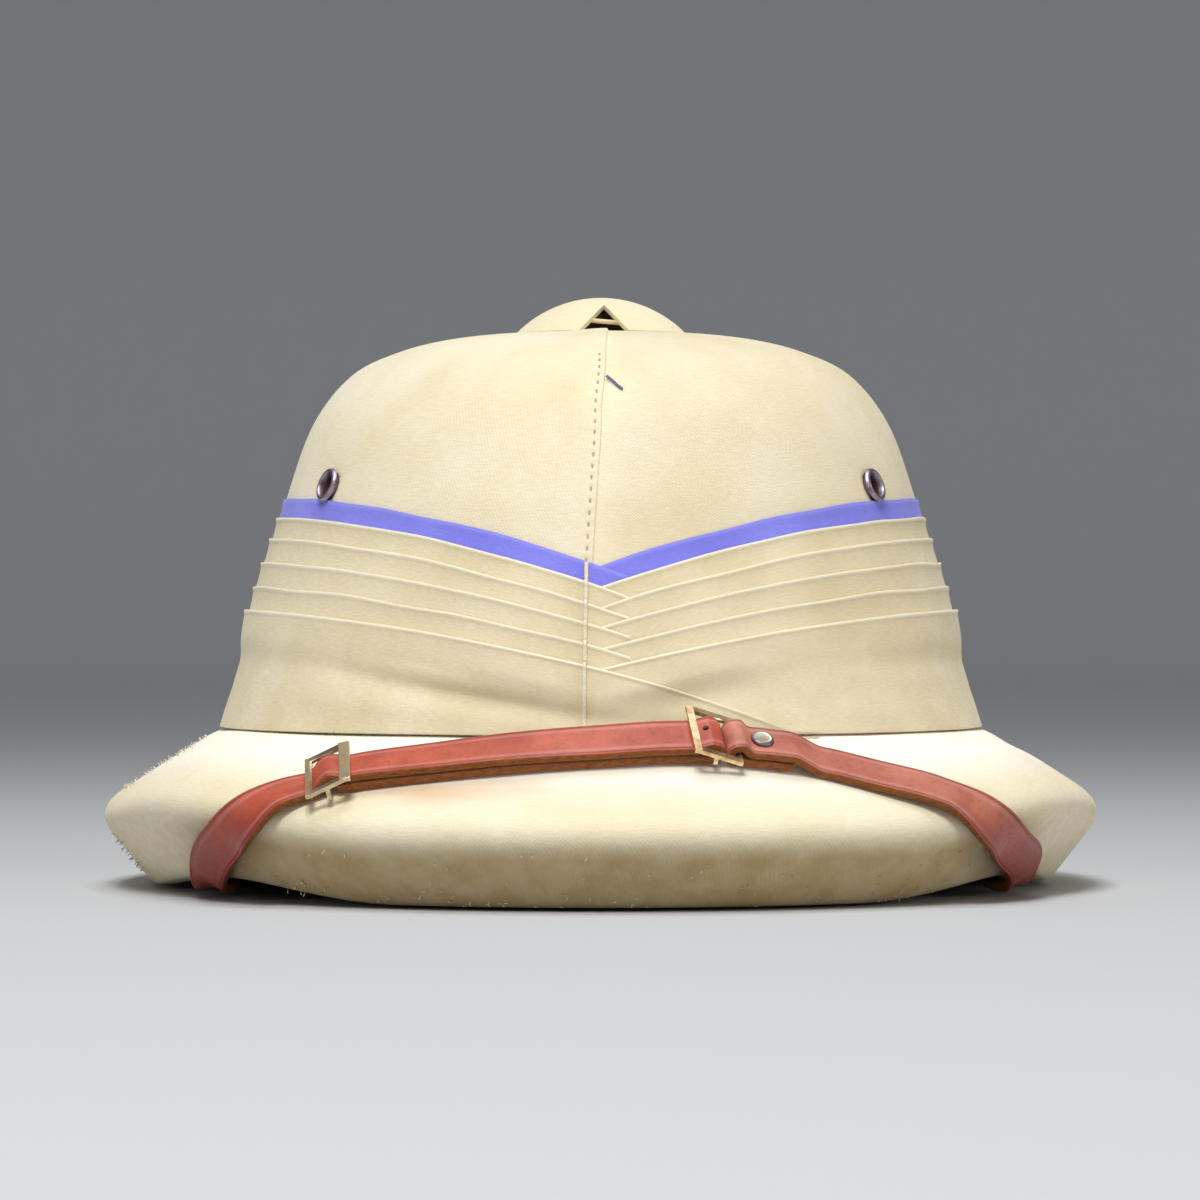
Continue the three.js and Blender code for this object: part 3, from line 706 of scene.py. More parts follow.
brim_bm = spun(brim_profile(), steps=180)
lay_out(brim_bm, round_brim)
top_highlight = brim_bm.verts.layers.float.new("edge")
shaded_face = brim_bm.verts.layers.float.new("soil_and_shade")
stained = brim_bm.verts.layers.float.new("stain")
for vert in brim_bm.verts:
    at_front = 1 - ease(abs(turn_of(vert.co)), SHADED_TURN, UNSHADED_TURN)
    # painted highlight: the top of the brim is given a paler tone
    vert[top_highlight] = TOP_HIGHLIGHT * ease(vert.co.z, TOP_HIGHLIGHT_FROM, TOP_HIGHLIGHT_TO)
    # painted shade, with some dirt, low on the front of the face
    vert[shaded_face] = FACE_SHADE * at_front * (1 - ease(vert.co.z, FACE_SHADE_ENDS_FROM, FACE_SHADE_ENDS_TO))
    for stain in STRAP_STAINS:
        along = bell(turn_of(vert.co) - stain.turn, stain.half_length)
        vert[stained] += stain.strength * along * bell(vert.co.z - stain.height, stain.half_height)
    bulge = UNEVENNESS * noise.noise(vert.co * LUMPS) * ease(vert.co.z, 1, 6)
    vert.co += vert.normal * bulge
    vert.co.z += rim_pull(turn_of(vert.co), radius_of(vert.co))
make_piece("brim_drill", brim_bm, [drill], "drill", ["brim"])

# %% [markdown]
# The drill is worn, and short fibres stand off it along the toe, on the front of the face and all over
# the left side.

# %% Lint on the worn places
Worn = namedtuple("Worn", "start end turns fibres")
WORN_PLACES = (
    Worn(BRIM_FACE_END, BRIM_TOE_CORNER, (-42, 44), 60),
    Worn(BRIM_FACE_START, BRIM_FACE_END, (-48, 48), 50),
    Worn(BRIM_SLOPE_START, BRIM_SLOPE_END, (-104, -76), 110),
    Worn(BRIM_FACE_START, BRIM_FACE_END, (-104, -76), 80),
)
LINT_RADIUS = 0.16
LINT_REACH = (0.5, 1.3)
LINT_LEAN, LINT_ASIDE = 0.6, 0.9  # down the profile and round the brim, either way
dice = random.Random(4)


def fibre(worn):
    turn = dice.uniform(*worn.turns)
    start, end = Vector(worn.start), Vector(worn.end)
    along = (end - start).normalized()
    root = start.lerp(end, dice.random())
    reach = dice.uniform(*LINT_REACH)
    tip = root + reach * Vector((-along.y, along.x)) + dice.uniform(-LINT_LEAN, LINT_LEAN) * along
    lift = rim_pull(turn, root.x)
    aside = math.degrees(dice.uniform(-LINT_ASIDE, LINT_ASIDE) / root.x)
    bend = root.lerp(tip, 0.6)
    points = (root, turn), (bend, turn + 0.2 * aside), (tip, turn + aside)
    return [on_oval(point.x, at, max(point.y + lift, 0.3)) for point, at in points]


lint_bm = bmesh.new()
for worn in WORN_PLACES:
    for _ in range(worn.fibres):
        add_thread(lint_bm, fibre(worn), LINT_RADIUS, sides=3)
make_piece("brim_lint", lint_bm, [pale_thread], "drill")

# %% [markdown]
# ## Ventilator cap
#
# The cap is a small dome that keeps rain out of the vent hole. Air gets out through one pointed opening
# at the front. Two cuts with planes through the dome give that opening its straight sides, and the wall
# is made thick afterwards.

# %% Cap
CAP_RADIUS = 25.0
CAP_HEIGHT = 10.6
CAP_WALL, CAP_ROUNDING = 1.5, 0.4
CAP_ROWS = 14
CAP_SEAT = CROWN_SECTIONS[0].height + 2 * GAP
ARCH_HALF_WIDTH = 7.2
ARCH_HEIGHT = 7.9
ARCH_CENTRE = 0.9  # to the right of the middle


def cap_dome():
    ball = (CAP_RADIUS**2 + CAP_HEIGHT**2) / (2 * CAP_HEIGHT)
    half = math.asin(CAP_RADIUS / ball)
    angles = [half * i / CAP_ROWS for i in range(CAP_ROWS + 1)]
    drop = ball * math.cos(half)
    return [(ball * math.sin(a), CAP_SEAT + ball * math.cos(a) - drop) for a in angles]


def cut_arch(bm):
    sides = []
    for side in (1, -1):
        normal = Vector((side * ARCH_HEIGHT, 0, ARCH_HALF_WIDTH)).normalized()
        sides.append((Vector((ARCH_CENTRE + side * ARCH_HALF_WIDTH, 0, CAP_SEAT)), normal))
    cut_out(bm, lambda point: point.y < 0, sides)


cap_bm = spun(cap_dome(), steps=72, stretch=1, closed=False)
cut_arch(cap_bm)
lay_out_halves(cap_bm)
cap = make_piece("ventilator_cap_drill", cap_bm, [drill], "drill", ["ventilator_cap"])
thicken(cap, CAP_WALL, CAP_ROUNDING)

# %% [markdown]
# A narrow tape crosses the opening inside the cap, which holds the cloth's two corners together.

# %% Tape behind the opening
TAPE_SIZE = Vector((11.0, 0.7, 1.3))
TAPE_PLACE = Vector((ARCH_CENTRE, -18.9, CAP_SEAT + 2.7))
TAPE_TILT = Matrix.Rotation(math.radians(5), 3, "Y")

tape_bm = bmesh.new()
bmesh.ops.create_cube(tape_bm, size=1)
bmesh.ops.scale(tape_bm, vec=TAPE_SIZE, verts=tape_bm.verts)
bmesh.ops.rotate(tape_bm, matrix=TAPE_TILT, verts=tape_bm.verts)
bmesh.ops.translate(tape_bm, vec=TAPE_PLACE, verts=tape_bm.verts)
make_piece("cap_tape", tape_bm, [pugaree_cloth], "pugaree")

# %% [markdown]
# ## Pugaree
#
# A pugaree is a long cloth that is folded into pleats and wound round the crown. Here a blue flash shows
# at the top, then four narrow folds, then a wide turn down to the brim. Each turn starts at the front,
# goes round the back and laps over its own start, left over right. The way round is measured first, and a
# flat strip is cut to that length and to the greatest width. Its weave is laid out while it is still flat,
# and then it is draped as the seam's lap was.

# %% Flat strips and how they are draped
Winding = namedtuple("Winding", "node side_height front_drop")
WINDINGS = (
    Winding("flash_band", 111.0, 20.4),
    Winding("pugaree_fold_1", 105.6, 20.6),
    Winding("pugaree_fold_2", 99.6, 20.2),
    Winding("pugaree_fold_3", 92.7, 18.6),
    Winding("pugaree_fold_4", 85.7, 17.4),
    Winding("pugaree_wrap", 79.0, 16.2),
)
CLOTH_GAP = 0.15
FOLD_TUCK = 4.0  # of each fold under the next one
RIGHT_END, LEFT_END = -2.5, 364.2  # sweep of a fold, in degrees from the front
DIP_SPREAD, DIP_SHARPNESS = 90, 2.7
CROSSING_FULL, CROSSING_FADE = 8, 30
STEP_CROWDING = 27.2  # a strip's steps are shorter at the front
EDGE_ROLL = 0.3  # the cloth is doubled at its top edge
ROLL_INSET, ROLL_WIDTH = 0.5, 0.55
ROLL_HIGHLIGHT = 0.85  # share of the pale tone of the painted highlight on that edge
ROW_GRADING = 1.5  # more rows near the top edge
CUT_STEPS, CUT_ROWS = 360, 8  # where a strip's length and width are measured


def flat_strip(length, width, step_along, rows):
    bm = bmesh.new()
    bmesh.ops.create_grid(bm, x_segments=round(length / step_along), y_segments=rows, size=0.5)
    edge = bm.verts.layers.float.new("edge")
    for vert in bm.verts:
        down = (0.5 - vert.co.y) ** ROW_GRADING
        vert.co.y = 0.5 - down
        # painted highlight: a paler tone along the strip's top edge
        vert[edge] = ROLL_HIGHLIGHT * bell(down * width - ROLL_INSET, ROLL_WIDTH)
    lay_out(bm, lambda point, middle: (length * point.x, width * point.y))
    return bm


def length_of(line):
    return sum((end - start).length for start, end in zip(line, line[1:]))


def cut_size(place):
    shares = [i / CUT_STEPS for i in range(CUT_STEPS + 1)]
    rows = [i / CUT_ROWS for i in range(CUT_ROWS + 1)]
    width = max(length_of([place(along, across) for across in rows]) for along in shares)
    return width, length_of([place(along, 0.5) for along in shares])


def edge_roll(below_edge):
    return EDGE_ROLL * bell(below_edge - ROLL_INSET, ROLL_WIDTH)


Strip = namedtuple("Strip", "wall rounding step_along rows")


def cloth_piece(node, place, finish, slot, strip):
    width, length = cut_size(place)
    bm = flat_strip(length, width, strip.step_along, strip.rows)
    drape(bm, place)
    piece = make_piece(node + "_cloth", bm, [finish], slot, [node])
    thicken(piece, strip.wall, strip.rounding)
    print(node, "is cut", round(width, 1), "by", round(length, 1), "mm")
    return piece, (width * MM, length * MM)


# %% Where a winding lies
def from_front(sweep):
    return min(sweep, 360 - sweep)


def edge_height(winding, aside):
    return winding.side_height - winding.front_drop * max(0, 1 - aside / DIP_SPREAD) ** DIP_SHARPNESS


def crossing(sweep):
    return 1 - ease(abs(from_front(sweep)), CROSSING_FULL, CROSSING_FADE)


def standoff(index, sweep):
    cross = crossing(sweep)
    order = (1 + cross) * index + cross * (sweep > 180)
    return GAP + (CLOTH + CLOTH_GAP) * order


def sweep_at(share, left_end):
    return mix(RIGHT_END, left_end, share) - STEP_CROWDING * math.sin(math.tau * share)


# %% [markdown]
# No fold is quite even on the real helmet. Its edge wanders a little, and its face sags between the edge
# and the next fold. The cloth is doubled at the top edge, which makes a small roll there that catches the
# light, and a pale painted highlight is laid along that edge as well.

# %% Flash and narrow folds
FOLD_WANDER = 0.45
FOLD_SAG = 0.2
FOLD_STRIP = Strip(CLOTH, 0.2, 1.8, 16)


def fold_span(index, sweep):
    aside = from_front(sweep)
    wander = FOLD_WANDER * noise.noise(Vector((sweep / 14, 9.0 * index, 0)))
    return edge_height(WINDINGS[index], aside) + wander, edge_height(WINDINGS[index + 1], aside) - FOLD_TUCK


def fold_radius(index, sweep, height):
    top, bottom = fold_span(index, sweep)
    sag = FOLD_SAG * math.sin(math.pi * min(1.5 * (top - height) / (top - bottom), 1))
    roll = edge_roll(top - height) if index > 0 else 0  # the flash is single cloth
    return crown_radius(height) + standoff(index, sweep) + CLOTH - sag + roll


def place_fold(index):
    def place(along, across):
        sweep = sweep_at(along, LEFT_END)
        height = mix(*fold_span(index, sweep), across)
        return on_oval(fold_radius(index, sweep, height), sweep, height + GAP)

    return place


for index, winding in enumerate(WINDINGS[:-1]):
    finish, slot = (pugaree_cloth, "pugaree") if index > 0 else (flash_cloth, "flash")
    fold, flat = cloth_piece(winding.node, place_fold(index), finish, slot, FOLD_STRIP)

# %% [markdown]
# The wide turn hangs off the lowest fold and spreads out to the brim. It was pulled tight from the lower
# right, so it has long slanting creases at the front. Its left end crosses the front and runs down to the
# brim on the right.

# %% Wide turn
WRAP_CLOTH = 1.1
WRAP_STRIP = Strip(WRAP_CLOTH, 0.4, 2.0, 36)
WRAP_FOOT = 45.1
WRAP_LEFT_END = 392
WRAP_GRIP, WRAP_DRAPE = 7, 16  # below its edge it lies on the folds, then hangs free
RIPPLE, RIPPLE_TURN, RIPPLE_HEIGHT = 0.25, 9, 7
RIPPLE_START = 5  # above the foot
WRAP_SECTIONS = (
    Section(103.4, 84.0),
    Section(104.6, 68.0),
    Section(107.2, 58.0),
    Section(109.8, 50.0),
    Section(111.3, 45.0),
)
Crease = namedtuple("Crease", "turn height rise half_length half_height depth")
WRAP_CREASES = (
    Crease(-22, 55.6, -0.31, 20, 2.8, -1.7),
    Crease(-20, 60.4, -0.3, 22, 3.2, 1.1),
    Crease(-38, 53, -0.2, 14, 3.0, 0.6),
    Crease(14, 59, 0.12, 16, 4.0, -0.15),
    Crease(40, 62, -0.12, 16, 3.6, 0.5),
)
wrap_line = smooth_line(WRAP_SECTIONS, steps=6)


def crease_depth(turn, height):
    depth = 0.0
    for crease in WRAP_CREASES:
        middle = crease.height + crease.rise * (turn - crease.turn)
        along = bell(turn - crease.turn, crease.half_length)
        depth += crease.depth * along * bell(height - middle, crease.half_height)
    return depth


def wrap_top(sweep):
    return max(edge_height(WINDINGS[-1], from_front(sweep)), WRAP_FOOT + 1)


def wrap_face(sweep, height):
    index = len(WINDINGS) - 1
    turn = sweep - 360 * (sweep > 180)
    aside = abs(from_front(sweep))
    over_folds = crown_radius(height) + standoff(index, aside)
    hang = radius_at(wrap_line, height) - WRAP_CLOTH + crease_depth(turn, height)
    grip = 1 - ease(edge_height(WINDINGS[index], aside) - height, WRAP_GRIP, WRAP_DRAPE)
    lap = (WRAP_CLOTH + GAP) * (sweep > 180) * crossing(min(sweep, 360))
    wave = noise.noise(Vector((turn / RIPPLE_TURN, height / RIPPLE_HEIGHT, 3.0)))
    ripple = RIPPLE * wave * ease(height, WRAP_FOOT, WRAP_FOOT + RIPPLE_START)
    inside = hang + max(0, over_folds - hang) * grip + lap + ripple
    return inside + WRAP_CLOTH + edge_roll(wrap_top(sweep) - height)


def place_wrap(along, across):
    sweep = sweep_at(along, WRAP_LEFT_END)
    height = mix(wrap_top(sweep), WRAP_FOOT, across)
    return on_oval(wrap_face(sweep, height), sweep, height + GAP)


wrap, flat = cloth_piece("pugaree_wrap", place_wrap, pugaree_cloth, "pugaree", WRAP_STRIP)

# %% [markdown]
# A thick thread is laid down over all the folds just left of the middle, from the flash to the brim, and
# keeps them in place.

# %% Thread over the folds
TACK_SWEEP = 357.7
TACK_TOP, TACK_FOOT = 91.6, 46.8
TACK_STEPS = 90
TACK_RADIUS = 0.6
TACK_LIFT = 0.7  # of its middle off the cloth, as a share of its radius


def pugaree_radius(sweep, height):
    lying = [i for i in range(len(WINDINGS) - 1) if fold_span(i, sweep)[0] >= height]
    faces = [fold_radius(i, sweep, height) for i in lying]
    if wrap_top(sweep) >= height:
        faces.append(wrap_face(sweep, height))
    return max(faces, default=crown_radius(height))


tack_bm = bmesh.new()
tack_line = []
for i in range(TACK_STEPS + 1):
    height = mix(TACK_TOP, TACK_FOOT, i / TACK_STEPS)
    radius = pugaree_radius(TACK_SWEEP, height) + TACK_LIFT * TACK_RADIUS
    tack_line.append(on_oval(radius, TACK_SWEEP, height + GAP))
add_thread(tack_bm, tack_line, TACK_RADIUS, sides=8)
make_piece("pugaree_thread", tack_bm, [pale_thread], "pugaree")

# %% [markdown]
# ## Leather
#
# The chin strap is bridle leather: a smooth grain side with a line tooled along each edge, a rough flesh
# side and raw cut edges. The right strap has faded more than the left one. The CAD ribbons already run
# over the brim, through the frames and back. The four long edges of a ribbon are followed, smooth lines
# are drawn through them, and a section with rounded corners is carried along those lines.
#
# The tooled lines have to follow the strap. Every point of the section has a value called "across", from
# -1 at one edge to 1 at the other, and the leather's nodes read that. A second value says how much darker
# red the leather is made low down, where the strap goes over the rim.


# %% Leather finishes
LOW_DARK_RED = srgb(136, 26, 18)


def leather_grain(name, light, dark):
    finish = Finish(name)
    place = finish.objects()
    pores = finish.noise(place, 2600, detail=3)
    cracks = finish.noise(place, 700, detail=5, roughness=0.7)
    tone = finish.noise(place, 75, detail=4)
    across = finish.math("ABSOLUTE", finish.attribute("across"))

    def line_at(middle, half_width):
        off = finish.math("ABSOLUTE", finish.math("SUBTRACT", across, middle))
        return finish.spread(off, 0.0, half_width, 1, 0)

    tooled = line_at(0.86, 0.06)
    # painted sheen: a pale pink band inside each edge, where the strap catches the light
    painted_sheen = line_at(0.68, 0.16)
    worn = finish.spread(across, 0.9, 1.0)
    colour = finish.blend(finish.spread(tone, 0.3, 0.7), light, dark)
    colour = finish.blend(finish.spread(cracks, 0.5, 0.75, 0, 0.4), colour, srgb(112, 44, 32))
    colour = finish.blend(finish.math("MULTIPLY", painted_sheen, 0.3), colour, srgb(206, 150, 150))
    colour = finish.blend(finish.math("MULTIPLY", tooled, 0.6), colour, srgb(84, 30, 20))
    colour = finish.blend(finish.math("MULTIPLY", worn, 0.45), colour, srgb(122, 58, 26))
    colour = finish.blend(finish.attribute("darkened_low"), colour, LOW_DARK_RED)
    height = finish.math("SUBTRACT", finish.math("MULTIPLY", pores, 0.15), tooled)
    height = finish.math("SUBTRACT", height, finish.math("MULTIPLY", cracks, 0.25))
    finish.surface(
        Base_Color=colour,
        Roughness=finish.spread(cracks, 0.3, 0.75, 0.34, 0.5),
        Specular_IOR_Level=0.35,
        Normal=finish.bump(height, 0.0002, 0.7),
    )
    return finish


red_grain = leather_grain("strap_leather", srgb(192, 94, 70), srgb(162, 72, 54))
faded_grain = leather_grain("faded_strap_leather", srgb(192, 120, 100), srgb(166, 94, 78))
raw_edge = speckled(
    "strap_raw_edge", srgb(146, 86, 32), srgb(108, 56, 16),
    grain=500, limits=(0.25, 0.75), roughness=0.85, relief=(0.0002, 0.6), detail=3, stretch=4,
)
flesh_side = speckled(
    "strap_flesh_side", srgb(158, 106, 66), srgb(122, 76, 44),
    grain=1400, limits=(0.3, 0.7), roughness=0.95, relief=(0.0002, 0.7),
)


# %% Copies of solids, and the long edges of a ribbon
def copy_of(node):
    bm = bmesh.new()
    bm.from_mesh(nodes[node].data)
    bmesh.ops.scale(bm, vec=(1 / MM, 1 / MM, 1 / MM), verts=bm.verts)
    bmesh.ops.remove_doubles(bm, verts=bm.verts, dist=2 * WELD)
    bmesh.ops.join_triangles(
        bm, faces=bm.faces, angle_face_threshold=math.radians(30), angle_shape_threshold=math.radians(70)
    )
    return bm


SQUARE = math.radians(75)  # the long edges are square, and a tight bend is less than that


def long_edges(bm):
    mates = {}
    for edge in bm.edges:
        if edge.calc_face_angle(0) > SQUARE:
            for vert in edge.verts:
                mates.setdefault(vert, []).append(edge.other_vert(vert))
    corners = [vert for vert, others in mates.items() if len(others) == 3]
    end = [min(corners, key=lambda vert: vert.co.x)]
    while len(end) < 4:
        end.append(next(mate for mate in mates[end[-1]] if mate in corners and mate not in end))
    rails = []
    for corner in end:
        rail = [corner]
        while len(rail) == 1 or rail[-1] not in corners:
            rail.append(next(mate for mate in mates[rail[-1]] if mate not in rail[-2:] and mate not in end))
        rails.append([vert.co.copy() for vert in rail])
    return rails


def grain_and_flesh(rails):
    if (rails[0][0] - rails[1][0]).length < (rails[1][0] - rails[2][0]).length:
        rails = rails[1:] + rails[:1]
    sides = [rails[:2], rails[:1:-1]]
    return sorted(sides, key=lambda side: -max(point.z for rail in side for point in rail))


# %% Straps
GRAIN, RAW_EDGE, FLESH = 0, 1, 2
STRAP_SECTION = (  # across the strap and up through it, from -1 to 1
    (-1, 0.5), (-0.98, 0.85), (-0.94, 1), (-0.8, 1), (-0.4, 1), (0, 1),
    (0.4, 1), (0.8, 1), (0.94, 1), (0.98, 0.85), (1, 0.5), (1, -0.5),
    (0.98, -0.85), (0.94, -1), (0, -1), (-0.94, -1), (-0.98, -0.85), (-1, -0.5),
)
RIVET_HOLE, RIVET_HOLE_DEPTH = 2.5, 7
PUNCHED_HOLE, PUNCHED_DEPTH = 1.0, 3
PUNCHED_RIGHT, PUNCHED_HEIGHT = 28.1, 47.5
LOW_DARKENING, LOW_DARKENING_FROM, LOW_DARKENING_TO = 0.75, 28.0, 9.0  # share of the dark red, and the heights it grows over


def side_of_face(up):
    if abs(up) < 0.8:
        return RAW_EDGE
    return GRAIN if up > 0 else FLESH


def ribbon(node):
    source = copy_of(node)
    grain, flesh = grain_and_flesh(long_edges(source))
    source.free()
    sections = []
    for corners in zip(*(smooth_line(rail, 4) for rail in grain + flesh)):
        section = []
        for side, up in STRAP_SECTION:
            above, below = (corners[k].lerp(corners[k + 1], (side + 1) / 2) for k in (0, 2))
            section.append(below.lerp(above, (up + 1) / 2))
        sections.append(section)
    bm = bmesh.new()
    across = bm.verts.layers.float.new("across")
    darkened_low = bm.verts.layers.float.new("darkened_low")
    faces = add_tube(bm, sections)
    bm.verts.index_update()
    count = len(STRAP_SECTION)
    for vert in bm.verts:
        vert[across] = STRAP_SECTION[vert.index % count][0]
        # the leather is made darker red towards the bottom, where the strap goes over the rim
        vert[darkened_low] = LOW_DARKENING * (1 - ease(vert.co.z, LOW_DARKENING_TO, LOW_DARKENING_FROM))
    for face in faces:
        ups = [STRAP_SECTION[vert.index % count][1] for vert in face.verts]
        face.material_index = side_of_face(sum(ups) / len(ups))
    bmesh.ops.recalc_face_normals(bm, faces=bm.faces)
    return bm


def grain_face(bm, distance):
    grain = [face for face in bm.faces if face.material_index == GRAIN and face.normal.z > 0]
    return min(grain, key=lambda face: distance(face.calc_center_median()))


def middle_of(node):
    corners = [vert.co / MM for vert in nodes[node].data.vertices]
    return sum(corners, Vector()) / len(corners)


left_bm = ribbon("chin_strap_left")
punched = grain_face(left_bm, lambda at: math.hypot(at.x - PUNCHED_RIGHT, at.z - PUNCHED_HEIGHT))
bore(left_bm, punched.calc_center_median(), punched.normal.copy(), PUNCHED_HOLE, PUNCHED_DEPTH)
right_bm = ribbon("chin_strap_right")
rivet_middle = middle_of("strap_rivet")
rivet_axis = grain_face(right_bm, lambda at: (at - rivet_middle).length).normal.copy()
bore(right_bm, rivet_middle, rivet_axis, RIVET_HOLE, RIVET_HOLE_DEPTH)
straps = (("chin_strap_left", left_bm, red_grain), ("chin_strap_right", right_bm, faded_grain))
for node, strap_bm, grain in straps:
    make_piece(node + "_leather", strap_bm, [grain, raw_edge, flesh_side], "leather", [node])

# %% [markdown]
# ## Metal
#
# The two frames are worn brass, and no edge of them is sharp. Flat faces of a CAD copy are joined first,
# because a bevel needs whole edges, and then every outer edge is rounded.


# %% Metal finishes
def worn_metal(name, bright, dull, roughness):
    finish = Finish(name)
    place = finish.objects()
    tarnish = finish.noise(place, 260, detail=5, roughness=0.65)
    scuffs = finish.noise(finish.mapped(place, turn=35, scale=(1, 6, 1)), 900, detail=2)
    colour = finish.blend(finish.spread(tarnish, 0.4, 0.7), bright, dull)
    rough = finish.spread(tarnish, 0.35, 0.7, roughness, roughness + 0.2)
    scratched = finish.bump(scuffs, 0.00003, 0.5)
    finish.surface(Base_Color=colour, Metallic=1.0, Roughness=rough, Normal=scratched)
    return finish


brass = worn_metal("worn_brass", srgb(236, 214, 176), srgb(186, 150, 106), 0.3)
eyelet_metal = worn_metal("grey_eyelet_metal", srgb(168, 158, 170), srgb(104, 92, 99), 0.38)
rivet_metal = worn_metal("grey_rivet_metal", srgb(146, 136, 138), srgb(98, 88, 90), 0.42)
# painted highlight: near-white metal on the rivet's inner lip stands for the light it catches
rivet_lip_highlight = worn_metal("rivet_lip_painted_highlight", srgb(250, 248, 242), srgb(232, 226, 214), 0.5)
# painted shade: a dark brown stands for the shadow inside the eyelets' bores
eyelet_bore_shade = speckled(
    "eyelet_bore_painted_shade", srgb(88, 46, 38), srgb(50, 28, 26),
    grain=900, limits=(0.3, 0.7), roughness=0.8, relief=(0.00015, 0.7),
)

# %% Frames and studs
FLAT = math.radians(2)  # faces that turn less than this are joined
FRAME_CORNER, FRAME_ROUNDING = math.radians(30), 0.35
TURNED_CORNER, TURNED_ROUNDING = math.radians(70), 0.12


def rounded_edges(bm, angle, width, segments):
    edges = [edge for edge in bm.edges if edge.is_manifold and edge.calc_face_angle_signed() > angle]
    bmesh.ops.bevel(
        bm, geom=edges, offset=width, offset_type="OFFSET", affect="EDGES", segments=segments, profile=0.5,
        material=-1, clamp_overlap=True,
    )


def frame_piece(node):
    bm = copy_of(node)
    bmesh.ops.dissolve_limit(bm, angle_limit=FLAT, verts=bm.verts, edges=bm.edges)
    rounded_edges(bm, FRAME_CORNER, FRAME_ROUNDING, segments=3)
    piece = make_piece(node + "_brass", bm, [brass], "brass", [node])
    add_modifier(piece, "WEIGHTED_NORMAL", keep_sharp=True)


def turned_piece(node, finishes, slot, is_inner=lambda place: False):
    bm = copy_of(node)
    rounded_edges(bm, TURNED_CORNER, TURNED_ROUNDING, segments=2)
    for face in bm.faces:
        face.material_index = int(is_inner(face.calc_center_median()))
    piece = make_piece(node + "_metal", bm, finishes, slot, [node])
    add_modifier(piece, "SUBSURF", levels=2, render_levels=2)


for node in ("strap_slider", "strap_buckle"):
    frame_piece(node)
for node in ("strap_stud_left", "strap_stud_right"):
    turned_piece(node, [brass], "brass")

# %% [markdown]
# The eyelets' bores are painted dark, as painted shade inside the holes, and only their rolled rims are
# bright metal. The rivet is the other way round: its rim is dull, and its inner lip is painted near white
# as a highlight. A face gets the second finish when it lies close enough to the axis and, on an eyelet,
# below the roll.

# %% Eyelets and rivet
EYELET_BORE, EYELET_ROLL_FOOT = 3.3, 0.6
RIVET_LIP, RIVET_TOP = 2.6, 9.0


def in_bore(seat, axis, radius, top):
    def is_inner(place):
        along = (place - seat).dot(axis)
        return along < top and (place - seat - along * axis).length < radius

    return is_inner


for node, turn in zip(("eyelet_left", "eyelet_right"), EYELET_TURNS):
    seat, out = crown_point(turn, EYELET_HEIGHT), out_of_crown(turn, EYELET_HEIGHT)
    shaded_bore = in_bore(seat, out, EYELET_BORE, EYELET_ROLL_FOOT)
    turned_piece(node, [eyelet_metal, eyelet_bore_shade], "eyelet_metal", shaded_bore)
lip = in_bore(rivet_middle, rivet_axis, RIVET_LIP, RIVET_TOP)
turned_piece("strap_rivet", [rivet_metal, rivet_lip_highlight], "brass", lip)

# %% [markdown]
# ## Camera
#
# The photograph was taken from straight ahead, level with the folds. The camera stands where it stood,
# and its view takes in the part of the photograph that the helmet fills.

# %% Camera
CAMERA_DISTANCE = 1.6
CAMERA_HEIGHT = 0.0762
VIEW_WIDTH = 0.3515  # what the view takes in at the middle of the helmet
SENSOR = 36.0
SHIFT = (-0.0008, 0.0167)

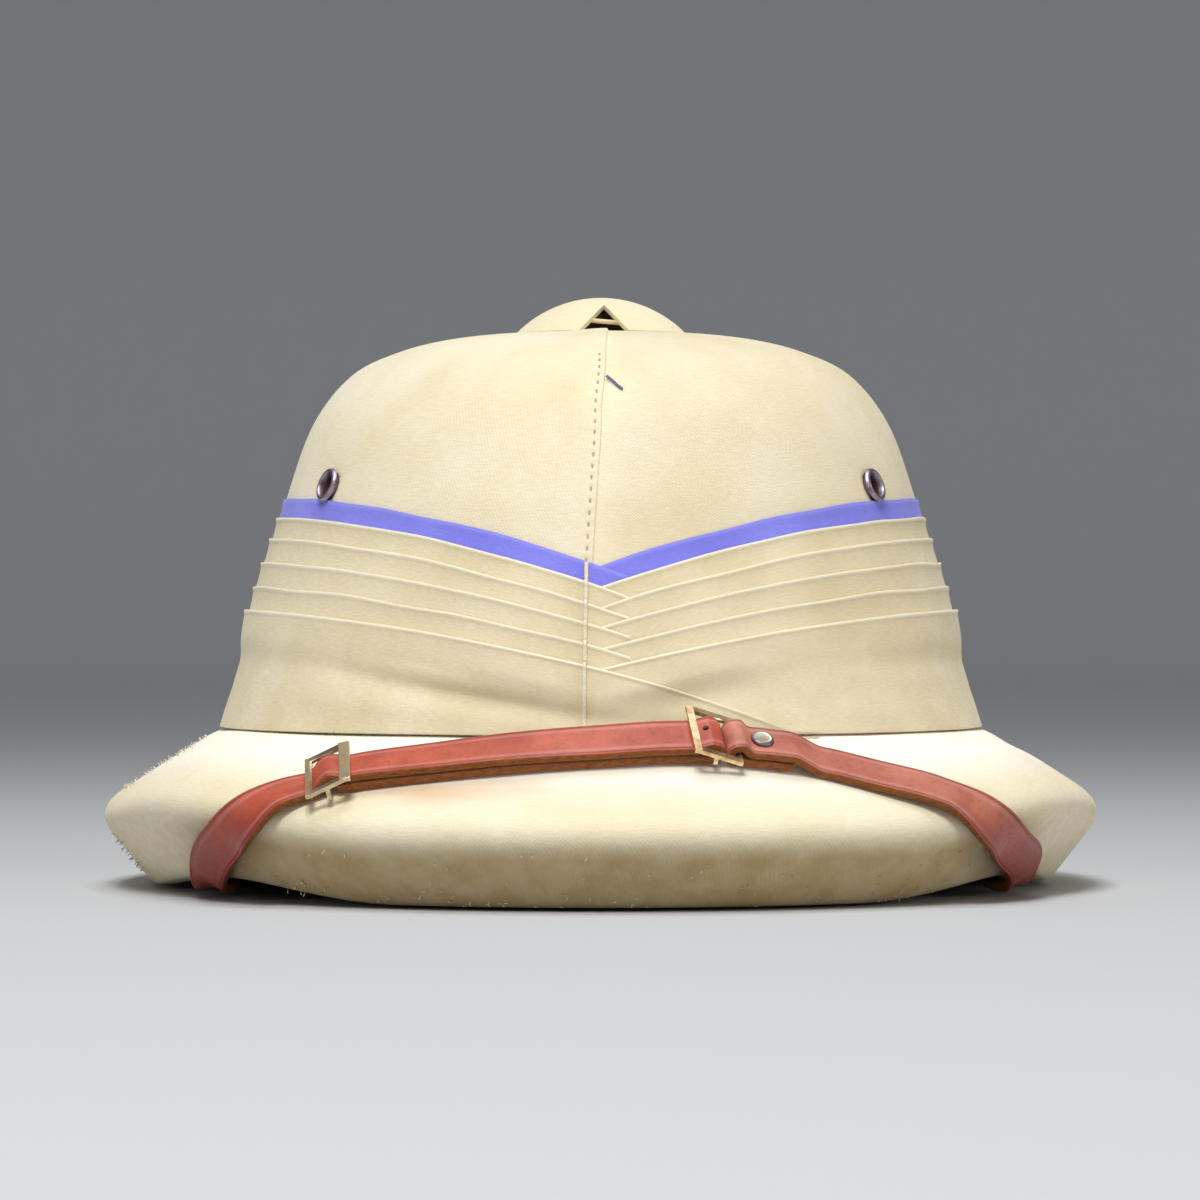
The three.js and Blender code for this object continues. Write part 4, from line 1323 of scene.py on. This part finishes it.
camera_data = bpy.data.cameras.new("camera")
camera_data.sensor_width = SENSOR
camera_data.lens = SENSOR * CAMERA_DISTANCE / VIEW_WIDTH
camera_data.shift_x, camera_data.shift_y = SHIFT
camera = bpy.data.objects.new("camera", camera_data)
camera.location = (0, -CAMERA_DISTANCE, CAMERA_HEIGHT)
camera.rotation_euler = (math.radians(90), 0, 0)
bpy.context.scene.collection.objects.link(camera)
bpy.context.scene.camera = camera
print("lens", round(camera_data.lens, 1), "mm")

# %% [markdown]
# ## Stage and light
#
# The floor runs up into a round wall, so that no horizon shows from any side. One large soft light stands
# high in front, as in the photograph, where the upper faces are bright and the rim's face is in shade.

# %% Floor
FLOOR_PROFILE = ((1, -0.3), (2600, -0.3), (3600, 120), (4300, 700), (4600, 1600), (4600, 4000))

floor_finish = Finish("pale_floor")
floor_finish.surface(Base_Color=srgb(190, 192, 195), Roughness=0.9)
floor_bm = spun(smooth_line(FLOOR_PROFILE, steps=8), steps=64, stretch=1, closed=False)
floor = mesh_object("floor", floor_bm, [floor_finish])

# %% Lights
Light = namedtuple("Light", "name place size power colour")
LIGHTS = (
    Light("key", (-0.25, -1.4, 1.8), 0.7, 34, (1, 0.99, 0.97)),
    Light("overhead", (0.0, -0.1, 2.2), 1.2, 20, (1, 1, 1)),
    Light("low_front", (0.1, -2.4, 0.3), 1.0, 4, (1, 0.94, 0.8)),
    Light("low_left", (-1.7, -1.0, 0.35), 0.6, 3, (1, 0.98, 0.94)),
    Light("low_right", (1.7, -1.0, 0.4), 0.6, 7, (1, 0.95, 0.86)),
)
AIM = Vector((0, 0, 0.08))
SKY, SKY_STRENGTH = srgb(232, 234, 238), 0.3

for light in LIGHTS:
    data = bpy.data.lights.new(light.name, "AREA")
    data.size = light.size
    data.energy = light.power
    data.color = light.colour
    lamp = bpy.data.objects.new(light.name, data)
    lamp.location = light.place
    lamp.rotation_euler = (AIM - Vector(light.place)).to_track_quat("-Z", "Y").to_euler()
    bpy.context.scene.collection.objects.link(lamp)
    print("light", light.name, "with", light.power, "W")

world = bpy.data.worlds.new("studio")
world.use_nodes = True
world.node_tree.nodes["Background"].inputs["Color"].default_value = SKY
world.node_tree.nodes["Background"].inputs["Strength"].default_value = SKY_STRENGTH
bpy.context.scene.world = world
bpy.context.scene.view_settings.view_transform = "Standard"
